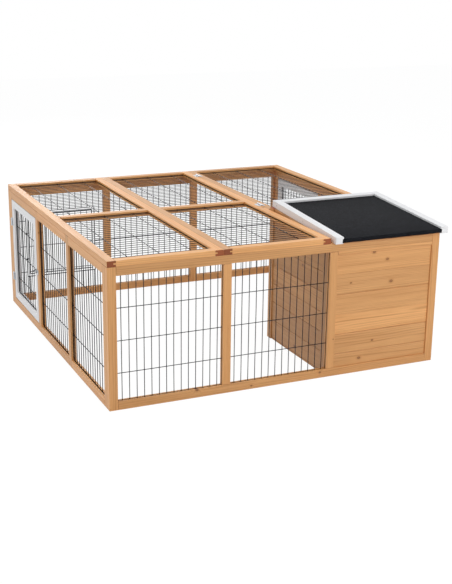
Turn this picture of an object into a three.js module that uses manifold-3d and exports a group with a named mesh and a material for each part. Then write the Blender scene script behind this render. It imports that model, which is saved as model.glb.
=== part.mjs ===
// Outdoor rabbit run: four grooved timber wall frames filled with welded wire net, two fixed roof
// frames, a hinged roof lid, two hinged side doors, a wire door at the back, and a planked house
// with a felted lean-to roof in the front right corner.
//
// Millimetres, +Z up, front of the run towards -Y. The run is laid out from the front left bottom
// corner of its walls and then centred on its footprint.
import * as THREE from "three";
import { mergeVertices } from "three/addons/utils/BufferGeometryUtils.js";
import Module from "manifold-3d";

// ---------------------------------------------------------------- driving dimensions
const RUN_WIDTH = 1250; // front wall, left to right
const RUN_DEPTH = 1290; // front face to back face
const RUN_HEIGHT = 507; // ground to the top of the roof frames
const TIMBER_FACE = 30; // width of every frame member
const TIMBER_THICK = 20; // thickness of every frame member
const SEAT = 0.3; // clearance between pieces that touch
const GROOVE_WIDTH = 5; // groove that holds a net or a plank tongue
const GROOVE_DEPTH = 8;

const ROOF_FRAME_WIDTH = 402; // each fixed roof frame, left to right
const BAYS = 3; // bays of the side and back walls

const WIRE = 2; // thickness of a net wire
const WIRE_LAYER_GAP = 0.3; // between the two layers of a net
const WIRE_PITCH = 26; // between the close wires
const ROW_PITCH = 111; // between the wide spaced wires
const LOWEST_ROW = 124.5; // height of the lowest row on a wall
const NET_EDGE = 4.7; // width of the strip that holds the wire ends in the groove

const DOOR_GAP = 3; // all round a side door
const DOOR_HINGE_INSET = 94; // hinge centres from the top and bottom of a side door
const DOOR_HINGE_LENGTH = 32;
const LID_HINGE_LENGTH = 40;
const LID_HINGE_FRONT = 75; // hinge centre from the front end of the lid
const LID_HINGE_BACK = 119; // hinge centre from the back end of the lid
const HINGE_LEAF = 15; // from the pin to the edge of a leaf
const HINGE_PLATE = 1.2;
const KNUCKLE_RADIUS = 3;
const KNUCKLE_GAP = 0.4;
const PIN_RADIUS = 1.1;
const PIN_PLAY = 0.5;

const BOLT_PLATE_HEIGHT = 18;
const BOLT_PLATE_LENGTH = 22;
const BOLT_PLATE = 1.2;
const BOLT_ROD_RADIUS = 2.3;
const BOLT_PLAY = 0.5;
const BOLT_GUIDE_LENGTH = 3;
const BOLT_GUIDE_WALL = 1.5;
const BOLT_EDGE = 1; // from the edge of the wood to the plate on it
const BOLT_TRAVEL = 7; // the bolts are drawn back by this from the keeper
const BOLT_STEM_RADIUS = 1.7;
const BOLT_KNOB_HEIGHT = 10;
const BOLT_KNOB_RADIUS = 3.6;
const KEEPER_LENGTH = 18;

const ROD = 4; // thick wire of the back door and of its opening
const REAR_OPENING_HINGE_SIDE = 36; // the opening's rods from the frame round them
const REAR_OPENING_LATCH_SIDE = 41;
const REAR_OPENING_BELOW = 74;
const REAR_OPENING_ABOVE = 73;
const REAR_DOOR_MARGIN = 11; // between the opening's rods and the door's rods
const REAR_EYE_LENGTH = 8;
const REAR_EYE_WALL = 2;
const LATCH_BELOW_ROW = 17; // the latch from the row above it
const LATCH_PLAY = 3; // between the hook and the wire it catches
const LATCH_BAR = 2;

const HOUSE_DEPTH = 470;
const HOUSE_PITCH = 3.7; // slope of the house roof in degrees
const PLANK_PITCH = 73;
const PLANK_THICK = 12;
const PLANK_RECESS = 5; // planks stand back from the frame's outer face
const HOUSE_HEAD_RAIL = 42.5; // the top rail is deeper over the front planks
const PLANK_BEAD = 2.2; // half width and depth of the vee between planks
const DOORWAY_WIDTH = 170;
const DOORWAY_HEIGHT = 220;
const DOORWAY_SILL = 40;

const ROOF_OVERHANG_FRONT = 12;
const ROOF_OVERHANG_RIGHT = 25;
const ROOF_OVERHANG_BACK = 4;
const ROOF_LEFT_SETBACK = 12; // roof edge from the left edge of the house
const ROOF_BOARD = 12;
const FELT = 2;
const FELT_DROP = 11; // how far the felt turns down over the front edge
const TRIM_WIDTH = 30;
const TRIM_HEIGHT = 24.5;
const TRIM_LIP = 4; // how far the trims reach over and under the edges of the board and felt
const TRIM_FOOT = 2;
const LID_SETBACK = 8; // from the back of the house roof to the lid
const ROOF_HINGE_INSET = 23; // from the ends of the back trim
const ROOF_HINGE_KNUCKLES = 7;

const CYLINDER_SIDES = 12;

// ---------------------------------------------------------------- sizes that follow
const WALL_HEIGHT = RUN_HEIGHT - TIMBER_THICK - SEAT;
const SIDE_LENGTH = RUN_DEPTH - 2 * (TIMBER_THICK + SEAT);
const NET_THICK = 2 * WIRE + WIRE_LAYER_GAP;
const NET_FRONT = (TIMBER_THICK - NET_THICK) / 2;
const HOUSE_LEFT = 2 * ROOF_FRAME_WIDTH + 2 * SEAT;
const ROOF_LEFT = 2 * ROOF_FRAME_WIDTH + ROOF_LEFT_SETBACK;
const ROOF_RIGHT = RUN_WIDTH + ROOF_OVERHANG_RIGHT;
const ROOF_BACK = HOUSE_DEPTH + ROOF_OVERHANG_BACK;
const ROOF_ANGLE = THREE.MathUtils.degToRad(HOUSE_PITCH);
const LID_FRONT = ROOF_BACK + LID_SETBACK;
const TRIM_WEB = TRIM_WIDTH - TRIM_LIP;
const PLANK_TOP = WALL_HEIGHT - HOUSE_HEAD_RAIL; // a seam of every planked wall is at this height
const HINGE_STANDOFF = KNUCKLE_RADIUS + SEAT; // pin axis above the faces that carry the leaves
const BORE_RADIUS = PIN_RADIUS + PIN_PLAY;

// Height of the house roof's underside above a point at depth y.
const roofUnderside = (y) => WALL_HEIGHT + SEAT + y * Math.tan(ROOF_ANGLE);

// ---------------------------------------------------------------- solids
const wasm = await Module();
wasm.setup();

function toSolid(geometry) {
  const bare = geometry.clone();
  bare.deleteAttribute("normal");
  bare.deleteAttribute("uv");
  const merged = mergeVertices(bare);
  return new wasm.Manifold(
    new wasm.Mesh({
      numProp: 3,
      vertProperties: new Float32Array(merged.attributes.position.array),
      triVerts: new Uint32Array(merged.index.array),
    }),
  );
}

function toGeometry(solid) {
  const mesh = solid.getMesh();
  const geometry = new THREE.BufferGeometry();
  geometry.setAttribute("position", new THREE.BufferAttribute(mesh.vertProperties, 3));
  geometry.setIndex(new THREE.BufferAttribute(mesh.triVerts, 1));
  geometry.computeVertexNormals();
  return geometry;
}

// A block between two corners; each argument is a pair of ends in either order.
function block([x0, x1], [y0, y1], [z0, z1]) {
  const geometry = new THREE.BoxGeometry(Math.abs(x1 - x0), Math.abs(y1 - y0), Math.abs(z1 - z0));
  return toSolid(geometry.translate((x0 + x1) / 2, (y0 + y1) / 2, (z0 + z1) / 2));
}

// A round bar along one axis: "x", "y" or "z", from one end to the other, through (p, q) of the
// other two axes in x, y, z order.
function bar(axis, [from, to], p, q, radius) {
  const geometry = new THREE.CylinderGeometry(radius, radius, Math.abs(to - from), CYLINDER_SIDES);
  const middle = (from + to) / 2;
  if (axis === "x") geometry.rotateZ(Math.PI / 2).translate(middle, p, q);
  if (axis === "y") geometry.translate(p, middle, q);
  if (axis === "z") geometry.rotateX(Math.PI / 2).translate(p, q, middle);
  return toSolid(geometry);
}

const joined = (solids) => solids.reduce((whole, solid) => whole.add(solid));
const without = (solid, cuts) => cuts.reduce((rest, cut) => rest.subtract(cut), solid);

// ---------------------------------------------------------------- finishes
const finish = (color, roughness, metalness) => ({ color, roughness, metalness });
const FIR = finish(0xcf9a63, 0.62, 0);
const WHITE_PAINT = finish(0xf1f1ee, 0.5, 0);
const ROOF_FELT = finish(0x303136, 0.95, 0);
const DARK_WIRE = finish(0x33353a, 0.35, 0.7);
const ZINC = finish(0xc9ccd0, 0.35, 0.9);
const BLACK_STEEL = finish(0x1d1e20, 0.4, 0.5);

function named(name, solid, look) {
  const mesh = new THREE.Mesh(toGeometry(solid), new THREE.MeshStandardMaterial(look));
  mesh.name = name;
  return mesh;
}

// A group whose own x, y axes point along a and b of its parent, and its z along a x b.
function placed(origin, a, b, children) {
  const group = new THREE.Group();
  const across = new THREE.Vector3(...a);
  const outward = new THREE.Vector3(...b);
  const along = new THREE.Vector3().crossVectors(across, outward);
  group.quaternion.setFromRotationMatrix(new THREE.Matrix4().makeBasis(across, outward, along));
  group.position.set(...origin);
  group.add(...children);
  return group;
}

// ---------------------------------------------------------------- wall panels
// A wall panel lies in its own frame: x along the wall seen from outside, y from the outer face
// (0) inwards, z up.
const THICKNESS = [0, TIMBER_THICK];
const GROOVE = [(TIMBER_THICK - GROOVE_WIDTH) / 2, (TIMBER_THICK + GROOVE_WIDTH) / 2];
const OPEN_HEIGHT = [TIMBER_FACE, WALL_HEIGHT - TIMBER_FACE];

const grown = ([from, to], by) => [from - by, to + by];

// The gaps between stiles that start at the given places.
const baysBetween = (stiles) =>
  stiles.slice(1).map((next, i) => [stiles[i] + TIMBER_FACE, next]);

const evenStiles = (length) =>
  Array.from({ length: BAYS + 1 }, (_, i) => (i * (length - TIMBER_FACE)) / BAYS);

const bayGroove = (bay) =>
  block(grown(bay, GROOVE_DEPTH), GROOVE, grown(OPEN_HEIGHT, GROOVE_DEPTH));

// A whole wall frame as one glued piece, grooved round the bays that hold a net or planks.
function wallFrame(length, groovedBays) {
  const stiles = evenStiles(length);
  const members = [
    block([0, length], THICKNESS, [0, TIMBER_FACE]),
    block([0, length], THICKNESS, [WALL_HEIGHT - TIMBER_FACE, WALL_HEIGHT]),
    ...stiles.map((x) => block([x, x + TIMBER_FACE], THICKNESS, [0, WALL_HEIGHT])),
  ];
  const bays = baysBetween(stiles);
  return without(joined(members), groovedBays.map((i) => bayGroove(bays[i])));
}

// ---------------------------------------------------------------- welded net
// Places of wires at one pitch, centred in a gap with about half a pitch left at each end.
function centredWires([from, to], pitch) {
  const count = Math.floor((to - from) / pitch);
  const first = (from + to - (count - 1) * pitch) / 2;
  return Array.from({ length: count }, (_, i) => first + i * pitch);
}

// Places of the rows of a wall net, counted up from the lowest row.
function wallRows([from, to]) {
  const count = Math.ceil((to - LOWEST_ROW) / ROW_PITCH);
  return Array.from({ length: count }, (_, i) => LOWEST_ROW + i * ROW_PITCH).filter(
    (z) => z - WIRE > from && z + WIRE < to,
  );
}

// A net that fills the gap x by z and reaches into the groove round it. The upright wires lie in
// the outer layer and the rows in the inner one, and an edge strip in the groove holds their ends.
function wireNet(xGap, zGap, uprights, rows) {
  const outerLayer = [NET_FRONT, NET_FRONT + WIRE];
  const innerLayer = [NET_FRONT + NET_THICK - WIRE, NET_FRONT + NET_THICK];
  const bothLayers = [NET_FRONT, NET_FRONT + NET_THICK];
  const reach = GROOVE_DEPTH - SEAT;
  const wireReach = reach - NET_EDGE / 2;
  const edge = without(block(grown(xGap, reach), bothLayers, grown(zGap, reach)), [
    block(grown(xGap, reach - NET_EDGE), THICKNESS, grown(zGap, reach - NET_EDGE)),
  ]);
  const wires = [
    ...uprights.map((x) => block([x - WIRE / 2, x + WIRE / 2], outerLayer, grown(zGap, wireReach))),
    ...rows.map((z) => block(grown(xGap, wireReach), innerLayer, [z - WIRE / 2, z + WIRE / 2])),
  ];
  return joined([edge, ...wires]);
}

const bayNet = (bay) =>
  wireNet(bay, OPEN_HEIGHT, centredWires(bay, WIRE_PITCH), wallRows(OPEN_HEIGHT));

// ---------------------------------------------------------------- planks
// Tongued boards laid on edge: a slab with a vee along each seam of its outer face.
function plankSlab(xSpan, ySpan, zSpan) {
  const slab = block(xSpan, ySpan, zSpan);
  const length = xSpan[1] - xSpan[0] + 2 * PLANK_BEAD;
  const seams = [];
  for (let z = PLANK_TOP; z > zSpan[0]; z -= PLANK_PITCH) seams.push(z);
  for (let z = PLANK_TOP + PLANK_PITCH; z < zSpan[1]; z += PLANK_PITCH) seams.push(z);
  const vees = seams
    .filter((z) => z - PLANK_BEAD > zSpan[0] && z + PLANK_BEAD < zSpan[1])
    .map((z) => {
      const side = PLANK_BEAD * Math.SQRT2;
      const square = new THREE.BoxGeometry(length, side, side).rotateX(Math.PI / 4);
      return toSolid(square.translate((xSpan[0] + xSpan[1]) / 2, ySpan[0], z));
    });
  return without(slab, vees);
}

// Planks that fill one bay of a wall up to the given height, held in the groove by a tongue all
// round.
function bayPlanks(bay, top) {
  const depth = [PLANK_RECESS, PLANK_RECESS + PLANK_THICK];
  const body = plankSlab(grown(bay, -SEAT), depth, grown([OPEN_HEIGHT[0], top], -SEAT));
  const reach = GROOVE_DEPTH - 2 * SEAT;
  const tongue = block(grown(bay, reach), grown(GROOVE, -SEAT), grown(OPEN_HEIGHT, reach));
  return body.add(tongue);
}

// Everything above the underside of the house roof, to trim the tops of the house walls.
function aboveRoofLine() {
  const size = 2 * (RUN_WIDTH + RUN_DEPTH);
  const geometry = new THREE.BoxGeometry(size, size, RUN_HEIGHT);
  geometry.translate(0, 0, RUN_HEIGHT / 2);
  geometry.rotateX(ROOF_ANGLE);
  return toSolid(geometry.translate(0, 0, roofUnderside(0) - SEAT));
}

// ---------------------------------------------------------------- hinges
// A hinge lies in its own frame: the moving leaf towards +x, the fixed leaf towards -x, the pin
// along z, and y away from the faces that carry the leaves.
function knuckleSpans(length, count, moving) {
  const pitch = length / count;
  const spans = [];
  for (let i = moving ? 1 : 0; i < count; i += 2) {
    const start = -length / 2 + i * pitch;
    const startGap = i === 0 ? 0 : KNUCKLE_GAP / 2;
    const endGap = i === count - 1 ? 0 : KNUCKLE_GAP / 2;
    spans.push([start + startGap, start + pitch - endGap]);
  }
  return spans;
}

function hingeLeaf(moving, length, { knuckles = 3, drop = 0 } = {}) {
  const side = moving ? 1 : -1;
  const half = [-length / 2, length / 2];
  const face = [-KNUCKLE_RADIUS, -KNUCKLE_RADIUS + HINGE_PLATE];
  const start = side * (KNUCKLE_RADIUS + KNUCKLE_GAP);
  const solids = [block([start, side * HINGE_LEAF], [face[0] - drop, face[1] - drop], half)];
  if (drop > 0) solids.push(block([start, start + side * HINGE_PLATE], [face[0] - drop, face[1]], half));
  for (const span of knuckleSpans(length, knuckles, moving)) {
    solids.push(block([0, start + side * HINGE_PLATE], face, span));
    solids.push(bar("z", span, 0, 0, KNUCKLE_RADIUS));
  }
  const leaf = joined(solids);
  if (!moving) return leaf.subtract(bar("z", grown(half, 1), 0, 0, BORE_RADIUS));
  return leaf.add(bar("z", grown(half, -1), 0, 0, PIN_RADIUS));
}

function hingeLeaves(name, length, options) {
  return {
    fixed: named(`${name}_fixed_leaf`, hingeLeaf(false, length, options), ZINC),
    moving: named(`${name}_moving_leaf`, hingeLeaf(true, length, options), ZINC),
  };
}

// ---------------------------------------------------------------- door bolts
// A bolt lies in its own frame: x from the door's free edge (0) towards the wall, y away from the
// outer face, z across the bolt.
const BOLT_AXIS = SEAT + BOLT_PLATE + BOLT_PLAY + BOLT_ROD_RADIUS;
const BOLT_GUIDE_HEIGHT = BOLT_AXIS + BOLT_ROD_RADIUS + BOLT_PLAY + BOLT_GUIDE_WALL;

function boltGuide(x0) {
  const half = BOLT_ROD_RADIUS + BOLT_PLAY + BOLT_GUIDE_WALL;
  return block([x0, x0 + BOLT_GUIDE_LENGTH], [SEAT + BOLT_PLATE / 2, BOLT_GUIDE_HEIGHT], [-half, half]);
}

function boltPlate(x0, x1) {
  const half = BOLT_PLATE_HEIGHT / 2;
  return block([x0, x1], [SEAT, SEAT + BOLT_PLATE], [-half, half]);
}

function boltPieces(name) {
  const inner = -BOLT_EDGE - BOLT_PLATE_LENGTH;
  const bore = bar("x", [-2 * BOLT_PLATE_LENGTH, 2 * BOLT_PLATE_LENGTH], BOLT_AXIS, 0,
    BOLT_ROD_RADIUS + BOLT_PLAY);
  const guides = [boltGuide(inner), boltGuide(-BOLT_EDGE - BOLT_GUIDE_LENGTH)];
  const body = joined([boltPlate(inner, -BOLT_EDGE), ...guides]).subtract(bore);

  const keeperStart = DOOR_GAP + BOLT_EDGE;
  const keeperPlate = boltPlate(keeperStart, keeperStart + KEEPER_LENGTH);
  const keeper = keeperPlate.add(boltGuide(keeperStart)).subtract(bore);

  // Drawn back, the rod ends at the gap beside the door, and its shot end fills the keeper's loop.
  const rodEnd = keeperStart + BOLT_GUIDE_LENGTH - BOLT_TRAVEL;
  const knobAt = -BOLT_EDGE - BOLT_GUIDE_LENGTH - BOLT_PLAY - BOLT_STEM_RADIUS - BOLT_TRAVEL;
  const knobTop = BOLT_AXIS + BOLT_KNOB_HEIGHT;
  const slider = joined([
    bar("x", [inner - BOLT_PLAY - BOLT_TRAVEL, rodEnd], BOLT_AXIS, 0, BOLT_ROD_RADIUS),
    bar("y", [BOLT_AXIS, knobTop], knobAt, 0, BOLT_STEM_RADIUS),
    bar("y", [knobTop - BOLT_KNOB_RADIUS, knobTop], knobAt, 0, BOLT_KNOB_RADIUS),
  ]);
  return [
    named(`${name}_bolt_body`, body, ZINC),
    named(`${name}_bolt_keeper`, keeper, ZINC),
    named(`${name}_bolt_slider`, slider, BLACK_STEEL),
  ];
}

// ---------------------------------------------------------------- side doors
// A painted frame with its net, two hinges on one side and a bolt on the other. The hinges are at
// the low x end of the bay when side is 1, and at the high x end when it is -1.
function sideDoor(name, bay, side) {
  const xSpan = grown(bay, -DOOR_GAP);
  const zSpan = grown(OPEN_HEIGHT, -DOOR_GAP);
  const xGap = grown(xSpan, -TIMBER_FACE);
  const zGap = grown(zSpan, -TIMBER_FACE);
  const frame = without(block(xSpan, THICKNESS, zSpan), [
    block(xGap, grown(THICKNESS, 1), zGap),
    block(grown(xGap, GROOVE_DEPTH), GROOVE, grown(zGap, GROOVE_DEPTH)),
  ]);
  const net = wireNet(xGap, zGap, centredWires(xGap, WIRE_PITCH), wallRows(zGap));

  const hingeX = side > 0 ? bay[0] + DOOR_GAP / 2 : bay[1] - DOOR_GAP / 2;
  const freeX = side > 0 ? xSpan[1] : xSpan[0];
  const heights = { lower: zSpan[0] + DOOR_HINGE_INSET, upper: zSpan[1] - DOOR_HINGE_INSET };
  const hinges = Object.entries(heights).map(([place, z]) => {
    const leaves = hingeLeaves(`${name}_${place}_hinge`, DOOR_HINGE_LENGTH);
    const origin = [hingeX, -HINGE_STANDOFF, z];
    return placed(origin, [side, 0, 0], [0, -1, 0], [leaves.fixed, leaves.moving]);
  });
  const middleZ = (zSpan[0] + zSpan[1]) / 2;
  const bolt = placed([freeX, 0, middleZ], [side, 0, 0], [0, -1, 0], boltPieces(name));
  return [
    named(`${name}_frame`, frame, WHITE_PAINT),
    named(`${name}_net`, net, DARK_WIRE),
    ...hinges,
    bolt,
  ];
}

// ---------------------------------------------------------------- front wall
function frontWall() {
  const stiles = [0, ROOF_FRAME_WIDTH, 2 * ROOF_FRAME_WIDTH, RUN_WIDTH - TIMBER_FACE];
  const bays = baysBetween(stiles);
  const grooves = bays.map(bayGroove);
  const between = [TIMBER_FACE + SEAT, RUN_WIDTH - TIMBER_FACE - SEAT];
  const member = (name, x, z) => named(name, without(block(x, THICKNESS, z), grooves), FIR);
  const stile = (name, x, z) => member(name, [x, x + TIMBER_FACE], z);
  const topRail = joined([
    block(between, THICKNESS, [OPEN_HEIGHT[1], WALL_HEIGHT]),
    block(grown(bays[2], -SEAT), THICKNESS, [PLANK_TOP, WALL_HEIGHT]),
  ]);
  const group = new THREE.Group();
  group.add(
    stile("front_stile_left", stiles[0], [0, WALL_HEIGHT]),
    stile("front_stile_middle", stiles[1], grown(OPEN_HEIGHT, -SEAT)),
    stile("front_stile_house", stiles[2], grown(OPEN_HEIGHT, -SEAT)),
    stile("front_stile_right", stiles[3], [0, WALL_HEIGHT]),
    member("front_rail_bottom", between, [0, TIMBER_FACE]),
    named("front_rail_top", without(topRail, grooves), FIR),
    named("front_net_left", bayNet(bays[0]), DARK_WIRE),
    named("front_net_middle", bayNet(bays[1]), DARK_WIRE),
    named("house_front_planks", bayPlanks(bays[2], PLANK_TOP), FIR),
  );
  return group;
}

// ---------------------------------------------------------------- side walls
// Seen from outside, the left wall runs from the back to the front.
function leftWall() {
  const bays = baysBetween(evenStiles(SIDE_LENGTH));
  return placed([0, RUN_DEPTH - TIMBER_THICK - SEAT, 0], [0, -1, 0], [1, 0, 0], [
    named("left_wall_frame", wallFrame(SIDE_LENGTH, [1, 2]), FIR),
    named("left_net_middle", bayNet(bays[1]), DARK_WIRE),
    named("left_net_front", bayNet(bays[2]), DARK_WIRE),
    ...sideDoor("left_door", bays[0], 1),
  ]);
}

// The right wall runs from the front to the back. Its top rail carries the wedge that closes the
// gable of the house.
function rightWall() {
  const bays = baysBetween(evenStiles(SIDE_LENGTH));
  const front = TIMBER_THICK + SEAT;
  const wedgeHeight = roofUnderside(HOUSE_DEPTH);
  const roofLine = toSolid(toGeometry(aboveRoofLine()).rotateZ(-Math.PI / 2).translate(-front, 0, 0));
  const wedge = block([0, HOUSE_DEPTH - front], THICKNESS, [WALL_HEIGHT - TIMBER_FACE / 2, wedgeHeight]);
  const frame = wallFrame(SIDE_LENGTH, [0, 1]).add(wedge.subtract(roofLine));
  return placed([RUN_WIDTH, front, 0], [0, 1, 0], [-1, 0, 0], [
    named("right_wall_frame", frame, FIR),
    named("house_side_planks", bayPlanks(bays[0], OPEN_HEIGHT[1]), FIR),
    named("right_net_middle", bayNet(bays[1]), DARK_WIRE),
    ...sideDoor("right_door", bays[2], -1),
  ]);
}

// ---------------------------------------------------------------- back wall and wire door
// Seen from outside, the back wall runs from right to left, so the wire door is in its last bay.
function rearDoor() {
  const middle = TIMBER_THICK / 2;
  const layers = [NET_FRONT, NET_FRONT + NET_THICK];
  const outerLayer = [NET_FRONT, NET_FRONT + WIRE];
  const innerLayer = [NET_FRONT + NET_THICK - WIRE, NET_FRONT + NET_THICK];
  const half = ROD / 2;
  const eyeBore = half + PIN_PLAY;
  const eyeRadius = eyeBore + REAR_EYE_WALL;
  const eyeSpan = (z) => grown([z, z], REAR_EYE_LENGTH / 2);

  // The net of the bay with its opening edged in thick wire. The rod that the door turns on runs
  // the full height, and no thin wire stands where the door's eyes turn.
  const bay = baysBetween(evenStiles(RUN_WIDTH))[BAYS - 1];
  const hinge = bay[1] - REAR_OPENING_HINGE_SIDE;
  const opening = [bay[0] + REAR_OPENING_LATCH_SIDE, hinge];
  const openingZ = [OPEN_HEIGHT[0] + REAR_OPENING_BELOW, OPEN_HEIGHT[1] - REAR_OPENING_ABOVE];
  const netUprights = centredWires(bay, WIRE_PITCH);
  const clearOfEyes = netUprights.filter((x) => Math.abs(x - hinge) > eyeRadius + WIRE);
  const thinNet = wireNet(bay, OPEN_HEIGHT, clearOfEyes, wallRows(OPEN_HEIGHT));
  const reach = GROOVE_DEPTH - SEAT - NET_EDGE / 2;
  const net = joined([
    thinNet.subtract(block(opening, THICKNESS, openingZ)),
    bar("z", grown(OPEN_HEIGHT, reach), hinge, middle, half),
    block(grown([opening[0], opening[0]], half), layers, grown(openingZ, half)),
    ...openingZ.map((z) => block(opening, layers, grown([z, z], half))),
  ]);

  // The door inside the opening, with an eye between each two of its rows.
  const xSpan = grown(opening, -REAR_DOOR_MARGIN);
  const zSpan = grown(openingZ, -REAR_DOOR_MARGIN);
  const uprights = centredWires(xSpan, WIRE_PITCH);
  const rows = wallRows(zSpan);
  const eyes = rows.slice(1).map((z, i) => (z + rows[i]) / 2);
  const bore = bar("z", OPEN_HEIGHT, hinge, middle, eyeBore);
  const door = joined([
    bar("z", grown(zSpan, half), xSpan[0], middle, half),
    block(grown([xSpan[1], xSpan[1]], half), layers, grown(zSpan, half)),
    ...zSpan.map((z) => block(xSpan, layers, grown([z, z], half))),
    ...uprights.map((x) => block(grown([x, x], WIRE / 2), outerLayer, zSpan)),
    ...rows.map((z) => block(xSpan, innerLayer, grown([z, z], WIRE / 2))),
    ...eyes.map((z) => bar("z", eyeSpan(z), hinge, middle, eyeRadius)),
    ...eyes.map((z) => block([xSpan[1], hinge], grown([middle, middle], WIRE / 2), eyeSpan(z))),
  ]).subtract(bore);

  // The latch: an eye on the door's free rod, and an arm that lies outside the net and hooks
  // behind the last thin wire of the bay.
  const free = xSpan[0];
  const latchZ = rows[Math.floor(rows.length / 2)] - LATCH_BELOW_ROW;
  const armZ = grown([latchZ, latchZ], LATCH_BAR / 2);
  const armY = [middle - eyeRadius, middle - eyeRadius + LATCH_BAR];
  const hookEnd = netUprights[0] - WIRE / 2 - LATCH_PLAY;
  const latch = joined([
    bar("z", eyeSpan(latchZ), free, middle, eyeRadius),
    block([hookEnd, free], armY, armZ),
    block([hookEnd - LATCH_BAR, hookEnd], [armY[0], middle], armZ),
  ]).subtract(bar("z", grown(eyeSpan(latchZ), 1), free, middle, eyeBore));

  return [
    named("back_net_door_bay", net, DARK_WIRE),
    named("rear_wire_door", door, DARK_WIRE),
    named("rear_door_latch", latch, DARK_WIRE),
  ];
}

function backWall() {
  const bays = baysBetween(evenStiles(RUN_WIDTH));
  return placed([RUN_WIDTH, RUN_DEPTH, 0], [-1, 0, 0], [0, -1, 0], [
    named("back_wall_frame", wallFrame(RUN_WIDTH, [0, 1, 2]), FIR),
    named("back_net_right", bayNet(bays[0]), DARK_WIRE),
    named("back_net_middle", bayNet(bays[1]), DARK_WIRE),
    ...rearDoor(),
  ]);
}

// ---------------------------------------------------------------- roof frames
// A roof panel lies in its own frame: x to the right, y from its upper face (0) down, and z to
// the back, so its net is made as a wall's is.
function roofPanel(name, netNames, [x0, x1], [y0, y1], barCount) {
  const width = x1 - x0;
  const depth = y1 - y0;
  const barPitch = (depth - TIMBER_FACE) / (barCount + 1);
  const bars = Array.from({ length: barCount + 2 }, (_, i) => i * barPitch);
  const xGap = [TIMBER_FACE, width - TIMBER_FACE];
  const cells = baysBetween(bars);
  const members = [
    block([0, TIMBER_FACE], THICKNESS, [0, depth]),
    block([width - TIMBER_FACE, width], THICKNESS, [0, depth]),
    ...bars.map((z) => block([0, width], THICKNESS, [z, z + TIMBER_FACE])),
  ];
  const grooves = cells.map((cell) => block(grown(xGap, GROOVE_DEPTH), GROOVE, grown(cell, GROOVE_DEPTH)));
  const nets = cells.map((cell, i) =>
    named(netNames[i], wireNet(xGap, cell, centredWires(xGap, ROW_PITCH), centredWires(cell, WIRE_PITCH)),
      DARK_WIRE));
  return placed([x0, y0, RUN_HEIGHT], [1, 0, 0], [0, 0, -1], [
    named(name, without(joined(members), grooves), FIR),
    ...nets,
  ]);
}

function runRoof() {
  const leftEdge = ROOF_FRAME_WIDTH;
  const lidLeft = 2 * ROOF_FRAME_WIDTH;
  const lid = roofPanel("lid_frame", ["lid_net"], [lidLeft, RUN_WIDTH], [LID_FRONT, RUN_DEPTH], 0);
  const hinges = { front: LID_FRONT + LID_HINGE_FRONT, back: RUN_DEPTH - LID_HINGE_BACK };
  return [
    roofPanel("roof_frame_left", ["roof_net_left_front", "roof_net_left_back"],
      [0, leftEdge - SEAT], [0, RUN_DEPTH], 1),
    roofPanel("roof_frame_middle", ["roof_net_middle_front", "roof_net_middle_back"],
      [leftEdge, lidLeft - SEAT], [0, RUN_DEPTH], 1),
    lid,
    ...Object.entries(hinges).map(([place, y]) => {
      const leaves = hingeLeaves(`lid_${place}_hinge`, LID_HINGE_LENGTH);
      const origin = [lidLeft - SEAT / 2, y, RUN_HEIGHT + HINGE_STANDOFF];
      return placed(origin, [1, 0, 0], [0, 0, 1], [leaves.fixed, leaves.moving]);
    }),
  ];
}

// ---------------------------------------------------------------- house
// The partition is a frame with posts at both ends and planks between them, up to the roof.
function housePartition() {
  const front = TIMBER_THICK + SEAT;
  const length = HOUSE_DEPTH - front;
  const top = [0, roofUnderside(HOUSE_DEPTH)];
  const inset = (TIMBER_THICK - PLANK_THICK) / 2;
  const planks = plankSlab([TIMBER_FACE / 2, length - TIMBER_FACE / 2], [inset, inset + PLANK_THICK], top);
  const posts = [0, length - TIMBER_FACE].map((x) => block([x, x + TIMBER_FACE], THICKNESS, top));
  const panel = toGeometry(joined([planks, ...posts])).rotateZ(-Math.PI / 2);
  return toSolid(panel.translate(HOUSE_LEFT, HOUSE_DEPTH, 0)).subtract(aboveRoofLine());
}

// The back wall of the house, with the rabbits' doorway into the run.
function houseBackWall() {
  const left = HOUSE_LEFT + TIMBER_THICK + SEAT;
  const right = RUN_WIDTH - TIMBER_THICK - SEAT;
  const width = right - left;
  const slab = plankSlab([0, width], THICKNESS, [0, roofUnderside(HOUSE_DEPTH)]);
  const doorX = (width - DOORWAY_WIDTH) / 2;
  const doorway = block([doorX, doorX + DOORWAY_WIDTH], grown(THICKNESS, 1),
    [DOORWAY_SILL, DOORWAY_SILL + DOORWAY_HEIGHT]);
  const wall = toGeometry(slab.subtract(doorway)).rotateZ(Math.PI);
  return toSolid(wall.translate(right, HOUSE_DEPTH, 0)).subtract(aboveRoofLine());
}

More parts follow.
